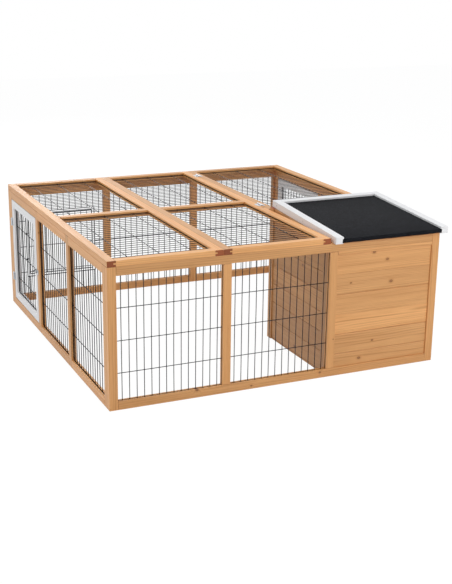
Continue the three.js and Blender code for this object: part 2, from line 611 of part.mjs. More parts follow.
// The lean-to roof lies in its own frame: x to the right, y up the slope from the front end of
// the trims, z square to the roof from their underside.
function houseRoof() {
  const width = ROOF_RIGHT - ROOF_LEFT;
  const length = (ROOF_BACK + ROOF_OVERHANG_FRONT) / Math.cos(ROOF_ANGLE);
  const boardZ = [TRIM_FOOT + SEAT, TRIM_FOOT + SEAT + ROOF_BOARD];
  const feltZ = [boardZ[1] + SEAT, boardZ[1] + SEAT + FELT];
  const between = [TRIM_WEB + SEAT, width - TRIM_WEB - SEAT];
  const backWeb = [length - TRIM_WEB, length];
  const toBack = backWeb[0] - SEAT;
  const lips = [[0, TRIM_FOOT], [feltZ[1] + SEAT, TRIM_HEIGHT]];

  const board = block(between, [FELT + SEAT, toBack], boardZ);
  const felt = joined([
    block(between, [0, toBack], feltZ),
    block(between, [0, FELT], [feltZ[1] - FELT_DROP, feltZ[1]]),
  ]);
  const sideTrim = (webX, lipX) =>
    joined([
      block(webX, [0, length], [0, TRIM_HEIGHT]),
      ...lips.map((z) => block(lipX, [0, toBack - TRIM_LIP - SEAT], z)),
    ]);
  const backLip = [toBack - TRIM_LIP + SEAT, length - TRIM_WEB / 2];
  const backTrim = joined([
    block(between, backWeb, [0, TRIM_HEIGHT]),
    ...lips.map((z) => block(between, backLip, z)),
  ]);
  const leftLip = [TRIM_WEB / 2, TRIM_WIDTH];
  const rightLip = leftLip.map((x) => width - x);

  // The strip hinge on the back trim; its pin is just behind the roof's lower back edge.
  const pinY = length + HINGE_STANDOFF;
  const middle = width / 2;
  const hingeLength = width - 2 * (TRIM_WEB + SEAT + ROOF_HINGE_INSET);
  const moving = named("house_roof_hinge_moving_leaf",
    hingeLeaf(true, hingeLength, { knuckles: ROOF_HINGE_KNUCKLES }), ZINC);

  const roof = new THREE.Group();
  roof.add(
    named("house_roof_board", board, FIR),
    named("house_roof_felt", felt, ROOF_FELT),
    named("house_roof_trim_left", sideTrim([0, TRIM_WEB], leftLip), WHITE_PAINT),
    named("house_roof_trim_right", sideTrim([width - TRIM_WEB, width], rightLip), WHITE_PAINT),
    named("house_roof_trim_back", backTrim, WHITE_PAINT),
    placed([middle, pinY, 0], [0, 0, 1], [0, 1, 0], [moving]),
  );
  roof.rotation.x = ROOF_ANGLE;
  roof.position.set(ROOF_LEFT, -ROOF_OVERHANG_FRONT, roofUnderside(-ROOF_OVERHANG_FRONT));

  // The fixed leaf shares the pin and steps in to the back wall of the house.
  roof.updateMatrixWorld(true);
  const pin = roof.localToWorld(new THREE.Vector3(middle, pinY, 0));
  const drop = pin.y - KNUCKLE_RADIUS - HOUSE_DEPTH - SEAT;
  const fixed = named("house_roof_hinge_fixed_leaf",
    hingeLeaf(false, hingeLength, { knuckles: ROOF_HINGE_KNUCKLES, drop }), ZINC);
  return [roof, placed(pin.toArray(), [0, 0, 1], [0, 1, 0], [fixed])];
}

// ---------------------------------------------------------------- assembly
const run = new THREE.Group();
run.add(
  frontWall(),
  leftWall(),
  rightWall(),
  backWall(),
  ...runRoof(),
  named("house_partition", housePartition(), FIR),
  named("house_back_wall", houseBackWall(), FIR),
  ...houseRoof(),
);

// The origin is at the middle of the footprint, on the ground.
run.updateMatrixWorld(true);
const bounds = new THREE.Box3().setFromObject(run);
const centre = bounds.getCenter(new THREE.Vector3());
run.position.set(-centre.x, -centre.y, -bounds.min.z);

const rabbitRun = new THREE.Group();
rabbitRun.add(run);

export default rabbitRun;
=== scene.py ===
"""Outdoor rabbit run: grooved fir frames, welded nets, painted doors and a felt-roofed house."""
import math
import random

import bmesh
import bpy
from bpy.props import FloatProperty, FloatVectorProperty, PointerProperty
from bpy.types import Operator, Panel, PropertyGroup
from mathutils import Matrix, Vector


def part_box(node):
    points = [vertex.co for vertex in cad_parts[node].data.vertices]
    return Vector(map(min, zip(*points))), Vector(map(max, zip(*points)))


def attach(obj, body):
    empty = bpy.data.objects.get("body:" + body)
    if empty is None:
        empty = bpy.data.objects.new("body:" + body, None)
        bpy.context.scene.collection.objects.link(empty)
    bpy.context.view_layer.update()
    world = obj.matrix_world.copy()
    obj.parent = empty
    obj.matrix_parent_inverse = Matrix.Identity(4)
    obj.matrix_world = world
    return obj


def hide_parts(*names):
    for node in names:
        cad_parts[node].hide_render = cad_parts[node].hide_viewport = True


bl_info = {
    "name": "Outdoor Rabbit Run",
    "version": (1, 0, 0),
    "blender": (4, 5, 0),
    "location": "View3D > Sidebar > Rabbit Run",
    "description": "Dresses the solids of an outdoor rabbit run in planed timber, wire, paint and felt",
    "category": "Object",
}

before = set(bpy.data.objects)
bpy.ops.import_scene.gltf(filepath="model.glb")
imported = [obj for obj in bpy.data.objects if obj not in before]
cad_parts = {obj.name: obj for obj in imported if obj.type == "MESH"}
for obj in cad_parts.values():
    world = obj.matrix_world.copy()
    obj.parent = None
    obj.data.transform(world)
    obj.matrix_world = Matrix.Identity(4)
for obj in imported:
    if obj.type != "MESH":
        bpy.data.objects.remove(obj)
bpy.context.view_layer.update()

MM = 0.001
X, Y, Z = Vector((1, 0, 0)), Vector((0, 1, 0)), Vector((0, 0, 1))
FIT = 0.3 * MM              # clearance between pieces that fit into each other
TONGUE_FIT = 0.2 * MM       # the same for tongues and tight seams


def srgb(red, green, blue):
    """A colour as it is read off a picture, 0 to 255, in the linear values that shaders use."""
    def linear(value):
        value /= 255
        return value / 12.92 if value <= 0.04045 else ((value + 0.055) / 1.055) ** 2.4
    return tuple(linear(value) for value in (red, green, blue))


# ------------------------------------------------------------------ sizes and colours
def length(label, about, default):
    return FloatProperty(name=label, description=about, default=default, min=0.0, unit="LENGTH")


def colour(label, about, default):
    return FloatVectorProperty(name=label, description=about, default=default, size=3,
                               min=0.0, max=1.0, subtype="COLOR")


class RunSizes(PropertyGroup):
    """Sizes of the timber, planks, nets and fittings."""
    member_width: length("Member width", "Face width of every frame member", 0.030)
    member_thick: length("Member thickness", "Thickness of every frame member", 0.020)
    groove_width: length("Groove width", "Groove that holds a net or the tongue of a rail", 0.005)
    groove_depth: length("Groove depth", "Depth of that groove", 0.008)
    edge: length("Edge rounding", "Rounding of planed edges", 0.0012)
    roof_edge: length("Roof edge rounding", "Rounding of the long roof timbers", 0.0021)
    head_rail: length("Head rail", "Depth of the top rail over the house planks", 0.0425)
    plank_pitch: length("Plank pitch", "Height of one plank", 0.073)
    plank_thick: length("Plank thickness", "Thickness of the planks in a frame", 0.012)
    plank_recess: length("Plank recess", "Planks stand back from the frame by this", 0.005)
    plank_chamfer: length("Plank chamfer", "Chamfer along each seam between planks", 0.0016)
    plank_gap: length("Plank gap", "Gap at an open seam between planks", 0.0009)
    wire: length("Wire", "Diameter of the net wires in the walls and doors", 0.0028)
    roof_wire: length("Roof wire", "Diameter of the net wires in the roof", 0.0022)
    wire_pitch: length("Wire pitch", "Between the close wires of a net", 0.026)
    row_pitch: length("Row pitch", "Between the wide spaced wires of a net", 0.111)
    lowest_row: length("Lowest row", "Height of the lowest row of a wall net", 0.1245)
    rod: length("Rod", "Diameter of the thick wire of the rear door", 0.004)
    door_gap: length("Door gap", "Gap all round a side door", 0.003)
    felt: length("Felt", "Thickness of the roofing felt", 0.002)
    felt_bend: length("Felt bend", "Outer radius of the felt over the front edge", 0.0055)
    screw_head: length("Screw head", "Diameter of a screw head", 0.0066)


class RunColours(PropertyGroup):
    """Colours of the finishes."""
    fir_light: colour("Fir, early wood", "Light part of the grain", srgb(234, 176, 114))
    fir_dark: colour("Fir, late wood", "Dark lines of the grain", srgb(190, 128, 68))
    fir_knot: colour("Fir, knots", "Knots in the wood", srgb(112, 62, 30))
    fir_end: colour("Fir, end grain", "Sawn ends, which soak up the stain", srgb(150, 78, 40))
    paint: colour("Paint", "White paint of the doors and trims", srgb(243, 243, 244))
    felt: colour("Felt", "Mineral roofing felt", srgb(22, 23, 27))
    wire: colour("Wire", "Dark plated wire", srgb(42, 43, 47))
    zinc: colour("Zinc", "Zinc plated fittings", srgb(205, 208, 212))
    black: colour("Black steel", "Black sliders of the bolts", srgb(24, 24, 27))
    floor: colour("Floor", "Floor under the run", srgb(236, 236, 236))


def sizes():
    return bpy.context.scene.run_sizes


def colours():
    return bpy.context.scene.run_colours


# ------------------------------------------------------------------ node helpers
class Graph:
    """Adds nodes to one node tree. A value may be a plain number or colour, or another node's output."""

    def __init__(self, tree):
        self.tree = tree

    def node(self, kind, inputs=None, **settings):
        """Adds a node with these settings, and feeds its inputs, given by name or number."""
        made = self.tree.nodes.new(kind)
        for name, value in settings.items():
            setattr(made, name, value)
        for key, value in (inputs or {}).items():
            self.feed(made.inputs[key], value)
        return made

    def feed(self, socket, value):
        if isinstance(value, bpy.types.NodeSocket):
            self.tree.links.new(value, socket)
            return
        wants_alpha = socket.type == "RGBA" and len(value) == 3
        socket.default_value = (*value, 1.0) if wants_alpha else value

    def math(self, operation, *values, clamp=False):
        made = self.node("ShaderNodeMath", dict(enumerate(values)), operation=operation, use_clamp=clamp)
        return made.outputs[0]

    def mul(self, first, second):
        return self.math("MULTIPLY", first, second)

    def add(self, first, second):
        return self.math("ADD", first, second)

    def mul_add(self, first, second, third, clamp=False):
        return self.math("MULTIPLY_ADD", first, second, third, clamp=clamp)

    def larger(self, first, second):
        return self.math("MAXIMUM", first, second)

    def length(self, first, second):
        """Length of a vector from its two components."""
        return self.math("SQRT", self.add(self.mul(first, first), self.mul(second, second)))

    def vector(self, operation, *values, output=0):
        made = self.node("ShaderNodeVectorMath", dict(enumerate(values)), operation=operation)
        return made.outputs[output]

    def split(self, vector):
        return self.node("ShaderNodeSeparateXYZ", {0: vector}).outputs

    def noise(self, vector, scale, detail=2.0, roughness=0.5):
        return self.node("ShaderNodeTexNoise", {"Vector": vector, "Scale": scale, "Detail": detail,
                                                "Roughness": roughness}).outputs[0]

    def streaks(self, grain, along, across, detail=2.0, roughness=0.5):
        """Noise with one scale along the grain and another across it."""
        return self.noise(self.vector("MULTIPLY", grain, (along, across, across)), 1.0, detail, roughness)

    def ramp(self, value, stops):
        """A grey ramp through (place, level) stops."""
        made = self.node("ShaderNodeValToRGB", {0: value})
        elements = made.color_ramp.elements
        while len(elements) < len(stops):
            elements.new(0.5)
        for element, (place, level) in zip(elements, stops):
            element.position = place
            element.color = (level, level, level, 1.0)
        return made.outputs[0]

    def spread(self, value, low, high, to_low=0.0, to_high=1.0, kind="LINEAR"):
        """Maps low..high to to_low..to_high and holds both ends."""
        ends = {"Value": value, "From Min": low, "From Max": high, "To Min": to_low, "To Max": to_high}
        return self.node("ShaderNodeMapRange", ends, interpolation_type=kind).outputs[0]

    def fade(self, value, low, high, to_low, to_high):
        """The same, with soft ends."""
        return self.spread(value, low, high, to_low, to_high, "SMOOTHSTEP")

    def mix(self, factor, first, second):
        return self.node("ShaderNodeMix", {0: factor, 6: first, 7: second}, data_type="RGBA").outputs[2]

    def shaded(self, tint, level):
        """A colour made lighter or darker by a level that varies from place to place."""
        return self.node("ShaderNodeVectorMath", {"Vector": tint, "Scale": level},
                         operation="SCALE").outputs[0]


# The kinds of the node groups' sockets. All others carry plain numbers.
SOCKET_KINDS = {"Grain": "Vector", "Place": "Vector", "Color": "Color", "Light": "Color", "Dark": "Color",
                "Knot": "Color", "End": "Color"}


def effect_group(name, inputs, outputs, build):
    """A shader node group with named sockets, built once."""
    if name in bpy.data.node_groups:
        return bpy.data.node_groups[name]
    tree = bpy.data.node_groups.new(name, "ShaderNodeTree")
    for way, labels in (("INPUT", inputs), ("OUTPUT", outputs)):
        for label in labels:
            kind = f"NodeSocket{SOCKET_KINDS.get(label, 'Float')}"
            tree.interface.new_socket(name=label, in_out=way, socket_type=kind)
    graph = Graph(tree)
    results = build(graph, graph.node("NodeGroupInput").outputs)
    graph.node("NodeGroupOutput", results)
    return tree


# Chances of a knot for each metre along and across the grain, and the largest radius.
KNOTS_ALONG, KNOTS_ACROSS, KNOT_RADIUS = 4.0, 14.0, 4.2 * MM
KNOT_DRAW = 0.8             # knots are drawn out along the grain by one over this
RING_PITCH = 4.6 * MM       # between two growth rings
RING_WANDER = 14.0 * MM     # how far the rings stray from a true circle
RING_TAPER = 0.004          # how much they drift along the grain
KNOT_SWIRL = 5.2 * MM       # how far a knot pushes the rings aside
# Painted shade inside the grooves: this tone darkens their faces.
GROOVE_SHADE_TONE = -2.7


def build_fir(graph, given):
    """Flat-sawn softwood. Along is the way of the grain, and the rings turn about its zero line."""
    along, across, through = graph.split(given["Grain"])
    knot_place = graph.vector("MULTIPLY", given["Grain"], (KNOTS_ALONG, KNOTS_ACROSS, 0.0))
    knots = graph.node("ShaderNodeTexVoronoi", {"Vector": knot_place, "Scale": 1.0},
                       voronoi_dimensions="2D", feature="F1")
    aside = graph.vector("SUBTRACT", knot_place, knots.outputs["Position"])
    aside = graph.vector("MULTIPLY", aside, (KNOT_DRAW / KNOTS_ALONG, 1 / KNOTS_ACROSS, 0.0))
    chance = graph.split(knots.outputs["Color"])[0]
    size = graph.spread(chance, 0.45, 1.0, 0.2 * MM, KNOT_RADIUS)
    off_knot = graph.math("DIVIDE", graph.vector("LENGTH", aside, output=1), size)
    knot = graph.fade(off_knot, 0.80, 1.05, 1.0, 0.0)
    rim = graph.mul(graph.fade(off_knot, 0.65, 0.85, 0.0, 1.0), graph.fade(off_knot, 0.95, 1.2, 1.0, 0.0))
    swirl = graph.mul(graph.fade(off_knot, 0.9, 5.0, KNOT_SWIRL, 0.0), graph.spread(chance, 0.5, 0.7))

    wander = graph.streaks(given["Grain"], 2.2, 26.0)
    waver = graph.mul(graph.math("SUBTRACT", wander, 0.5), RING_WANDER)
    warped = graph.add(graph.add(graph.length(across, through), waver),
                       graph.mul_add(along, RING_TAPER, swirl))
    phase = graph.math("FRACT", graph.math("DIVIDE", warped, RING_PITCH))
    late = graph.ramp(phase, ((0.0, 0.30), (0.12, 0.02), (0.55, 0.10), (0.86, 0.85), (1.0, 0.30)))

    fibre = graph.streaks(given["Grain"], 9.0, 620.0, 3.0, 0.6)
    cloud = graph.streaks(given["Grain"], 1.6, 14.0)
    streak = graph.streaks(given["Grain"], 3.0, 95.0)
    depth = graph.mul(late, graph.spread(streak, 0.3, 0.7, 0.25, 1.0))
    wood = graph.mix(depth, given["Light"], given["Dark"])
    halo = graph.fade(off_knot, 0.9, 3.2, 0.55, 0.0)
    for share in (graph.fade(cloud, 0.36, 0.66, 0.0, 0.26), graph.spread(fibre, 0.42, 0.80, 0.0, 0.50),
                  graph.spread(streak, 0.50, 0.75, 0.0, 0.26), graph.mul(halo, given["Knots"])):
        wood = graph.mix(share, wood, given["Dark"])
    heart = graph.larger(graph.mul(knot, 0.62), rim)
    wood = graph.mix(graph.mul(heart, given["Knots"]), wood, given["Knot"])
    end = graph.mix(graph.spread(phase, 0.55, 0.95, 0.0, 0.35), given["End"], given["Knot"])
    wood = graph.mix(given["Cut"], wood, end)
    rough = graph.mul_add(given["Cut"], 0.25, graph.spread(fibre, 0.3, 0.8, 0.36, 0.56))
    height = graph.mul_add(late, 0.4, graph.mul(fibre, 0.5))
    # Tone is each timber's own lightness, and painted shade on the faces inside grooves.
    return {"Color": graph.shaded(wood, graph.mul_add(given["Tone"], 0.24, 0.88)),
            "Roughness": rough, "Height": height}


def build_speckle(graph, given):
    """Fine mineral granules: some light, some dark, with a cloudy drift of tone."""
    grains = graph.node("ShaderNodeTexVoronoi", {"Vector": given["Place"], "Scale": 620.0}, feature="F1")
    pick = graph.split(grains.outputs["Color"])[0]
    light = graph.spread(pick, 0.86, 1.0)
    dark = graph.spread(pick, 0.0, 0.4, 1.0, 0.0)
    drift = graph.noise(given["Place"], 16.0, 3.0)
    clumps = graph.noise(given["Place"], 210.0, 2.0)
    level = graph.add(graph.mul_add(light, 2.2, 0.95),
                      graph.mul_add(dark, -0.45, graph.spread(drift, 0.3, 0.7, -0.12, 0.12)))
    level = graph.mul(level, graph.spread(clumps, 0.36, 0.64, 0.45, 1.55))
    height = graph.spread(grains.outputs["Distance"], 0.0, 0.8, 1.0, 0.0)
    return {"Color": graph.shaded(given["Color"], level), "Height": height}


def build_wear(graph, given):
    """Slow and fine drift of tone, for paint, coating and plating."""
    slow = graph.noise(given["Place"], 22.0, 3.0)
    fine = graph.noise(given["Place"], 480.0, 2.0)
    level = graph.add(graph.spread(slow, 0.3, 0.7, -1.0, 1.0), graph.spread(fine, 0.3, 0.7, -0.6, 0.6))
    shade = graph.mul_add(graph.mul(level, given["Amount"]), 0.6, 1.0)
    rough = graph.mul_add(level, given["Amount"], given["Roughness"], clamp=True)
    return {"Color": graph.shaded(given["Color"], shade), "Roughness": rough, "Height": fine}


# ------------------------------------------------------------------ materials
class Finish:
    """One material: its Principled shader, and a graph to feed it."""

    def __init__(self, name):
        self.material = bpy.data.materials.new(name)
        self.material.use_nodes = True
        self.graph = Graph(self.material.node_tree)
        self.shader = self.material.node_tree.nodes["Principled BSDF"]

    def attribute(self, name, output):
        return self.graph.node("ShaderNodeAttribute", attribute_name=name).outputs[output]

    def place(self):
        return self.graph.node("ShaderNodeTexCoord").outputs["Object"]

    def effect(self, name, build, outputs, **values):
        """Adds the named node group, which build fills on its first use."""
        tree = effect_group(name, values, outputs, build)
        return self.graph.node("ShaderNodeGroup", values, node_tree=tree).outputs

    def bump(self, height, strength, distance):
        made = self.graph.node("ShaderNodeBump", {"Height": height, "Strength": strength,
                                                  "Distance": distance})
        self.graph.feed(self.shader.inputs["Normal"], made.outputs[0])

    def set(self, **values):
        for name, value in values.items():
            self.graph.feed(self.shader.inputs[name.replace("_", " ")], value)


def fir(name, light=1.0, knots=1.0, extra_knots=None):
    """Clear finished fir. Light makes its colours lighter or darker, for the copies that carry painted light
    and shade. Extra knots are a mask that adds the knots of one face.
    """
    finish = Finish(name)
    tint = colours()
    out = finish.effect(
        "Fir grain", build_fir, ("Color", "Roughness", "Height"),
        Grain=finish.attribute("grain", "Vector"), Tone=finish.attribute("tone", "Fac"),
        Cut=finish.attribute("cut", "Fac"), Knots=knots,
        Light=tuple(min(1.0, part * light) for part in tint.fir_light),
        Dark=tuple(part * light for part in tint.fir_dark),
        Knot=tuple(tint.fir_knot), End=tuple(tint.fir_end))
    wood = out["Color"]
    if extra_knots:
        heart, halo = extra_knots(finish)
        wood = finish.graph.mix(halo, wood, tuple(tint.fir_dark))
        wood = finish.graph.mix(heart, wood, tuple(tint.fir_knot))
    finish.set(Base_Color=wood, Roughness=out["Roughness"])
    finish.bump(out["Height"], 0.35, 0.6 * MM)
    return finish.material


def worn(name, tint, roughness, amount, bump=0.0, **settings):
    """A smooth finish with a drift of tone and gloss."""
    finish = Finish(name)
    out = finish.effect("Wear", build_wear, ("Color", "Roughness", "Height"), Place=finish.place(),
                        Color=tuple(tint), Roughness=roughness, Amount=amount)
    finish.set(Base_Color=out["Color"], Roughness=out["Roughness"], **settings)
    if bump:
        finish.bump(out["Height"], bump, 0.4 * MM)
    return finish.material


def felt_material():
    finish = Finish("Roofing felt")
    out = finish.effect("Granules", build_speckle, ("Color", "Height"), Place=finish.place(),
                        Color=tuple(colours().felt))
    finish.set(Base_Color=out["Color"], Roughness=0.92, Specular_IOR_Level=0.12)
    finish.bump(out["Height"], 0.6, 0.8 * MM)
    return finish.material


def painted_material():
    """White paint that lets the grain below it show as faint relief, with painted shade on the faces inside
    grooves.
    """
    finish = Finish("White paint")
    graph = finish.graph
    grain = finish.attribute("grain", "Vector")
    brush = graph.streaks(grain, 6.0, 420.0, 3.0)
    slow = graph.streaks(grain, 3.0, 18.0)
    # Painted shade: faces inside a groove are darkened through their tone.
    groove_shade = graph.spread(finish.attribute("tone", "Fac"), GROOVE_SHADE_TONE, 0.0, 0.12, 1.0)
    shade = graph.mul(graph.spread(slow, 0.3, 0.7, 0.955, 1.0), groove_shade)
    finish.set(Base_Color=graph.shaded(tuple(colours().paint), shade),
               Roughness=graph.spread(brush, 0.3, 0.7, 0.38, 0.52))
    finish.bump(brush, 0.25, 0.5 * MM)
    return finish.material


# Knots on the house front that show in the photograph: across and up from the run's front left
# foot, then their radius, all in millimetres.
FRONT_KNOTS = ((1038, 409, 4.5), (1058, 326, 5.5), (992, 112, 3.5), (940, 51.5, 5.0),
               (982, 440, 5.0), (893, 337, 3.0))

KNOT_FLATNESS = math.sqrt(1.7)      # they are wider than high by this

# How light each front board is, from the lowest up.
FRONT_BOARD_TONES = (0.3, 0.35, 1.1, 0.6, 0.35, 0.7)


def front_knots(finish):
    """Masks for the hearts of the front planks' knots and for the darker wood round them."""
    graph = finish.graph
    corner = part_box("front_stile_left")[0]
    east, _, up = graph.split(finish.place())
    hearts, halos = 0.0, 0.0
    for across, height, radius in FRONT_KNOTS:
        side = graph.math("SUBTRACT", east, corner.x + across * MM)
        rise = graph.math("SUBTRACT", up, corner.z + height * MM)
        off = graph.length(side, graph.mul(rise, KNOT_FLATNESS))
        size = radius * MM
        ring = graph.fade(off, 0.6 * size, 0.9 * size, 0.45, 1.0)
        heart = graph.mul(ring, graph.fade(off, 0.95 * size, 1.25 * size, 1.0, 0.0))
        halo = graph.fade(off, size, 3.2 * size, 0.6, 0.0)
        hearts, halos = graph.larger(hearts, heart), graph.larger(halos, halo)
    return hearts, halos


def get_material(key):
    """The named finish, made when it is first used."""
    tint = colours()
    makers = {
        "Fir": lambda: fir("Fir"),
        # A lighter copy of the fir: painted light on the roof timbers, whose tops catch the light.
        "Fir roof": lambda: fir("Fir roof", light=1.06),
        "Fir planks": lambda: fir("Fir planks"),
        # A darker copy of the fir: painted shade for the partition inside the house.
        "Fir with painted shade": lambda: fir("Fir with painted shade", light=0.75),
        "Fir front planks": lambda: fir("Fir front planks", knots=0.0, extra_knots=front_knots),
        "White paint": painted_material,
        "Roofing felt": felt_material,
        "Coated wire": lambda: worn("Coated wire", tint.wire, 0.26, 0.06, Metallic=1.0),
        "Zinc": lambda: worn("Zinc", tint.zinc, 0.30, 0.10, Metallic=1.0),
        "Black steel": lambda: worn("Black steel", tint.black, 0.34, 0.10, bump=0.1),
    }
    return bpy.data.materials.get(key) or makers[key]()


# ------------------------------------------------------------------ mesh helpers
def add_band(bm, low, high):
    """Faces between two rings, of which either may be a single point."""
    count = max(len(low), len(high))
    for i in range(count):
        j = (i + 1) % count
        corners = (low[i % len(low)], low[j % len(low)], high[j % len(high)], high[i % len(high)])
        bm.faces.new(tuple(dict.fromkeys(corners)))


def join_rings(bm, rings):
    """Closes a row of rings into one solid. The first and the last may be single points."""
    for low, high in zip(rings, rings[1:]):
        add_band(bm, low, high)
    if len(rings[0]) > 1:
        bm.faces.new(reversed(rings[0]))
        bm.faces.new(rings[-1])
    bmesh.ops.recalc_face_normals(bm, faces=bm.faces)
    return bm


def prism(section, run):
    """A bar along x from 0 to run, with the given (y, z) section."""
    bm = bmesh.new()
    return join_rings(bm, [[bm.verts.new((x, y, z)) for y, z in section] for x in (0.0, run)])


def rectangle(width, height, y=0.0, z=0.0):
    return ((y, z), (y + width, z), (y + width, z + height), (y, z + height))


def soften(bm, width, segments=2, sharper_than=25):
    """Rounds the outward edges."""
    bm.normal_update()
    limit = math.radians(sharper_than)
    edges = [e for e in bm.edges if len(e.link_faces) == 2 and e.is_convex and e.calc_face_angle() > limit]
    bmesh.ops.bevel(bm, geom=edges, offset=width, segments=segments, profile=0.6, affect="EDGES",
                    clamp_overlap=True)
    return bm


def circle(sides):
    """Points on a circle of radius 1."""
    return [(math.cos(2 * math.pi * i / sides), math.sin(2 * math.pi * i / sides)) for i in range(sides)]


def lathe(profile, sides):
    """A closed solid turned about z, from (radius, height) points that start and end on the axis."""
    bm = bmesh.new()
    return join_rings(bm, [[bm.verts.new((radius * x, radius * y, height))
                            for x, y in circle(sides if radius else 1)] for radius, height in profile])


def round_bar(radius, low, high, rim, sides, high_rim=None):
    """A bar along z with chamfered ends."""
    high_rim = high_rim or rim
    return lathe(((0, low), (radius - rim, low), (radius, low + rim), (radius, high - high_rim),
                  (radius - rim, high), (0, high)), sides)


def tube(points, radius, sides=8):
    """A round wire through the points, with flat ends."""
    bm = bmesh.new()
    rings = []
    for i, point in enumerate(points):
        ahead = points[min(i + 1, len(points) - 1)] - points[max(i - 1, 0)]
        ahead.normalize()
        aside = ahead.cross(Z if abs(ahead.z) < 0.9 else X).normalized()
        over = aside.cross(ahead)
        rings.append([bm.verts.new(point + radius * (x * aside + y * over)) for x, y in circle(sides)])
    return join_rings(bm, rings)


def axes(x_axis, y_axis, z_axis, origin):
    """The matrix that takes local x, y, z to the given directions, from the given origin."""
    matrix = Matrix((x_axis, y_axis, z_axis)).transposed().to_4x4()
    matrix.translation = origin
    return matrix


# Where timbers are cut from their tree, in metres along it, and beside and above its heart.
CUT_ALONG, CUT_BESIDE, CUT_ABOVE = (0, 40), (0.012, 0.060), (0.004, 0.050)


class Piece:
    """One object made of many closed parts. Each part keeps its own place along the grain, its tone,
    and a mark on its sawn ends, for the shader. Faces inside a groove get a dark tone, as painted shade."""

    SUNK = 2.0 * MM     # faces this far inside a part's own section lie in a groove

    def __init__(self, name, body):
        self.name, self.body = name, body
        self.random = random.Random(name)
        self.verts, self.grain, self.faces = [], [], []
        self.cuts, self.tones, self.smooth = [], [], []

    def lot(self, tone=None):
        """Where a new timber was cut from its tree, and its tone, which is drawn unless given."""
        pick = self.random.uniform
        offset = Vector((pick(*CUT_ALONG), pick(*CUT_BESIDE) * self.random.choice((-1, 1)),
                         pick(*CUT_ABOVE)))
        drawn = pick(0.0, 1.0)
        return offset, drawn if tone is None else tone

    def add(self, bm, place=None, lot=None, smooth=False, grain_from=None):
        """Adds the part, moved by place. Its grain lies along its own x, or along the x of the
        matrix grain_from, which is given in the object's space."""
        place = place or Matrix()
        offset, tone = lot or self.lot()
        bm.verts.index_update()
        bm.normal_update()
        first = len(self.verts)
        flip = place.determinant() < 0
        for vert in bm.verts:
            spot = place @ vert.co
            self.verts.append(spot)
            self.grain.append((grain_from @ spot if grain_from else vert.co) + offset)
        turn = (grain_from @ place).to_3x3() if grain_from else Matrix.Identity(3)
        skin = [[pick(vert.co[i] for vert in bm.verts) for pick in (min, max)] for i in (1, 2)]
        for face in bm.faces:
            corners = [first + vert.index for vert in face.verts]
            self.faces.append(corners[::-1] if flip else corners)
            sawn = abs((turn @ face.normal).x) > 0.7 and not smooth
            middle = face.calc_center_median()
            # Faces inside a groove get painted shade through their tone.
            groove_shade = not (sawn or smooth or grain_from) and all(
                low + self.SUNK < middle[i] < high - self.SUNK for i, (low, high) in zip((1, 2), skin))
            self.cuts.append(1.0 if sawn else 0.0)
            self.tones.append(GROOVE_SHADE_TONE if groove_shade else tone)
            self.smooth.append(smooth)
        bm.free()

    def finish(self, material, slot, *nodes):
        """Makes the object, which rides on its body and stands for the nodes."""
        mesh = bpy.data.meshes.new(self.name)
        mesh.from_pydata(self.verts, [], self.faces)
        mesh.attributes.new("grain", "FLOAT_VECTOR", "POINT").data.foreach_set(
            "vector", [part for spot in self.grain for part in spot])
        mesh.attributes.new("cut", "FLOAT", "FACE").data.foreach_set("value", self.cuts)
        mesh.attributes.new("tone", "FLOAT", "FACE").data.foreach_set("value", self.tones)
        mesh.polygons.foreach_set("use_smooth", self.smooth)
        mesh.update()
        made = bpy.data.objects.new(self.name, mesh)
        bpy.context.collection.objects.link(made)
        made.data.materials.append(get_material(material))
        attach(made, self.body)
        if nodes:
            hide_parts(*nodes)
        return made


class Side:
    """A wall, door or roof frame seen from outside: x along it, y inwards from its outer face, z up
    it. Its corner is taken from the box of the nodes it stands for."""

    def __init__(self, nodes, along, inward):
        boxes = [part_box(node) for node in nodes]
        low = Vector([min(box[0][i] for box in boxes) for i in range(3)])
        high = Vector([max(box[1][i] for box in boxes) for i in range(3)])
        up = along.cross(inward)
        corner = Vector([high[i] if (along + inward + up)[i] < 0 else low[i] for i in range(3)])
        self.matrix = axes(along, inward, up, corner)
        self.inverse = self.matrix.inverted()
        self.width = abs((high - low).dot(along))
        self.height = abs((high - low).dot(up))

    def span(self, node):
        """The node's box in this side's own x, y and z, as three (low, high) pairs."""
        corners = [self.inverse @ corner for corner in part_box(node)]
        return [(min(a, b), max(a, b)) for a, b in zip(*corners)]

    def upright(self, x, z0):
        """Local x up the timber, y across its face, z inwards."""
        return self.matrix @ axes(Z, X, Y, Vector((x, 0, z0)))

    def level(self, x0, z, thick):
        """Local x along the timber, y up its face, z outwards."""
        return self.matrix @ axes(X, Z, -Y, Vector((x0, thick, z)))


# ------------------------------------------------------------------ timber
def grooved(width, thick, low, high):
    """Section of a member with a groove in its low or high edge, or both."""
    s = sizes()
    near, far = (thick - s.groove_width) / 2, (thick + s.groove_width) / 2
    section = [(0, 0), (width, 0)]
    if high:
        bottom = width - s.groove_depth
        section += [(width, near), (bottom, near), (bottom, far), (width, far)]
    section += [(width, thick), (0, thick)]
    if low:
        section += [(0, far), (s.groove_depth, far), (s.groove_depth, near), (0, near)]
    return section


def add_upright(piece, side, x, z0, z1, low=False, high=False, edge=None, tone=None):
    """A member that stands up the side, grooved towards lower x, higher x or both."""
    s = sizes()
    bm = prism(grooved(s.member_width, s.member_thick, low, high), z1 - z0)
    piece.add(soften(bm, edge or s.edge), side.upright(x, z0), piece.lot(tone))


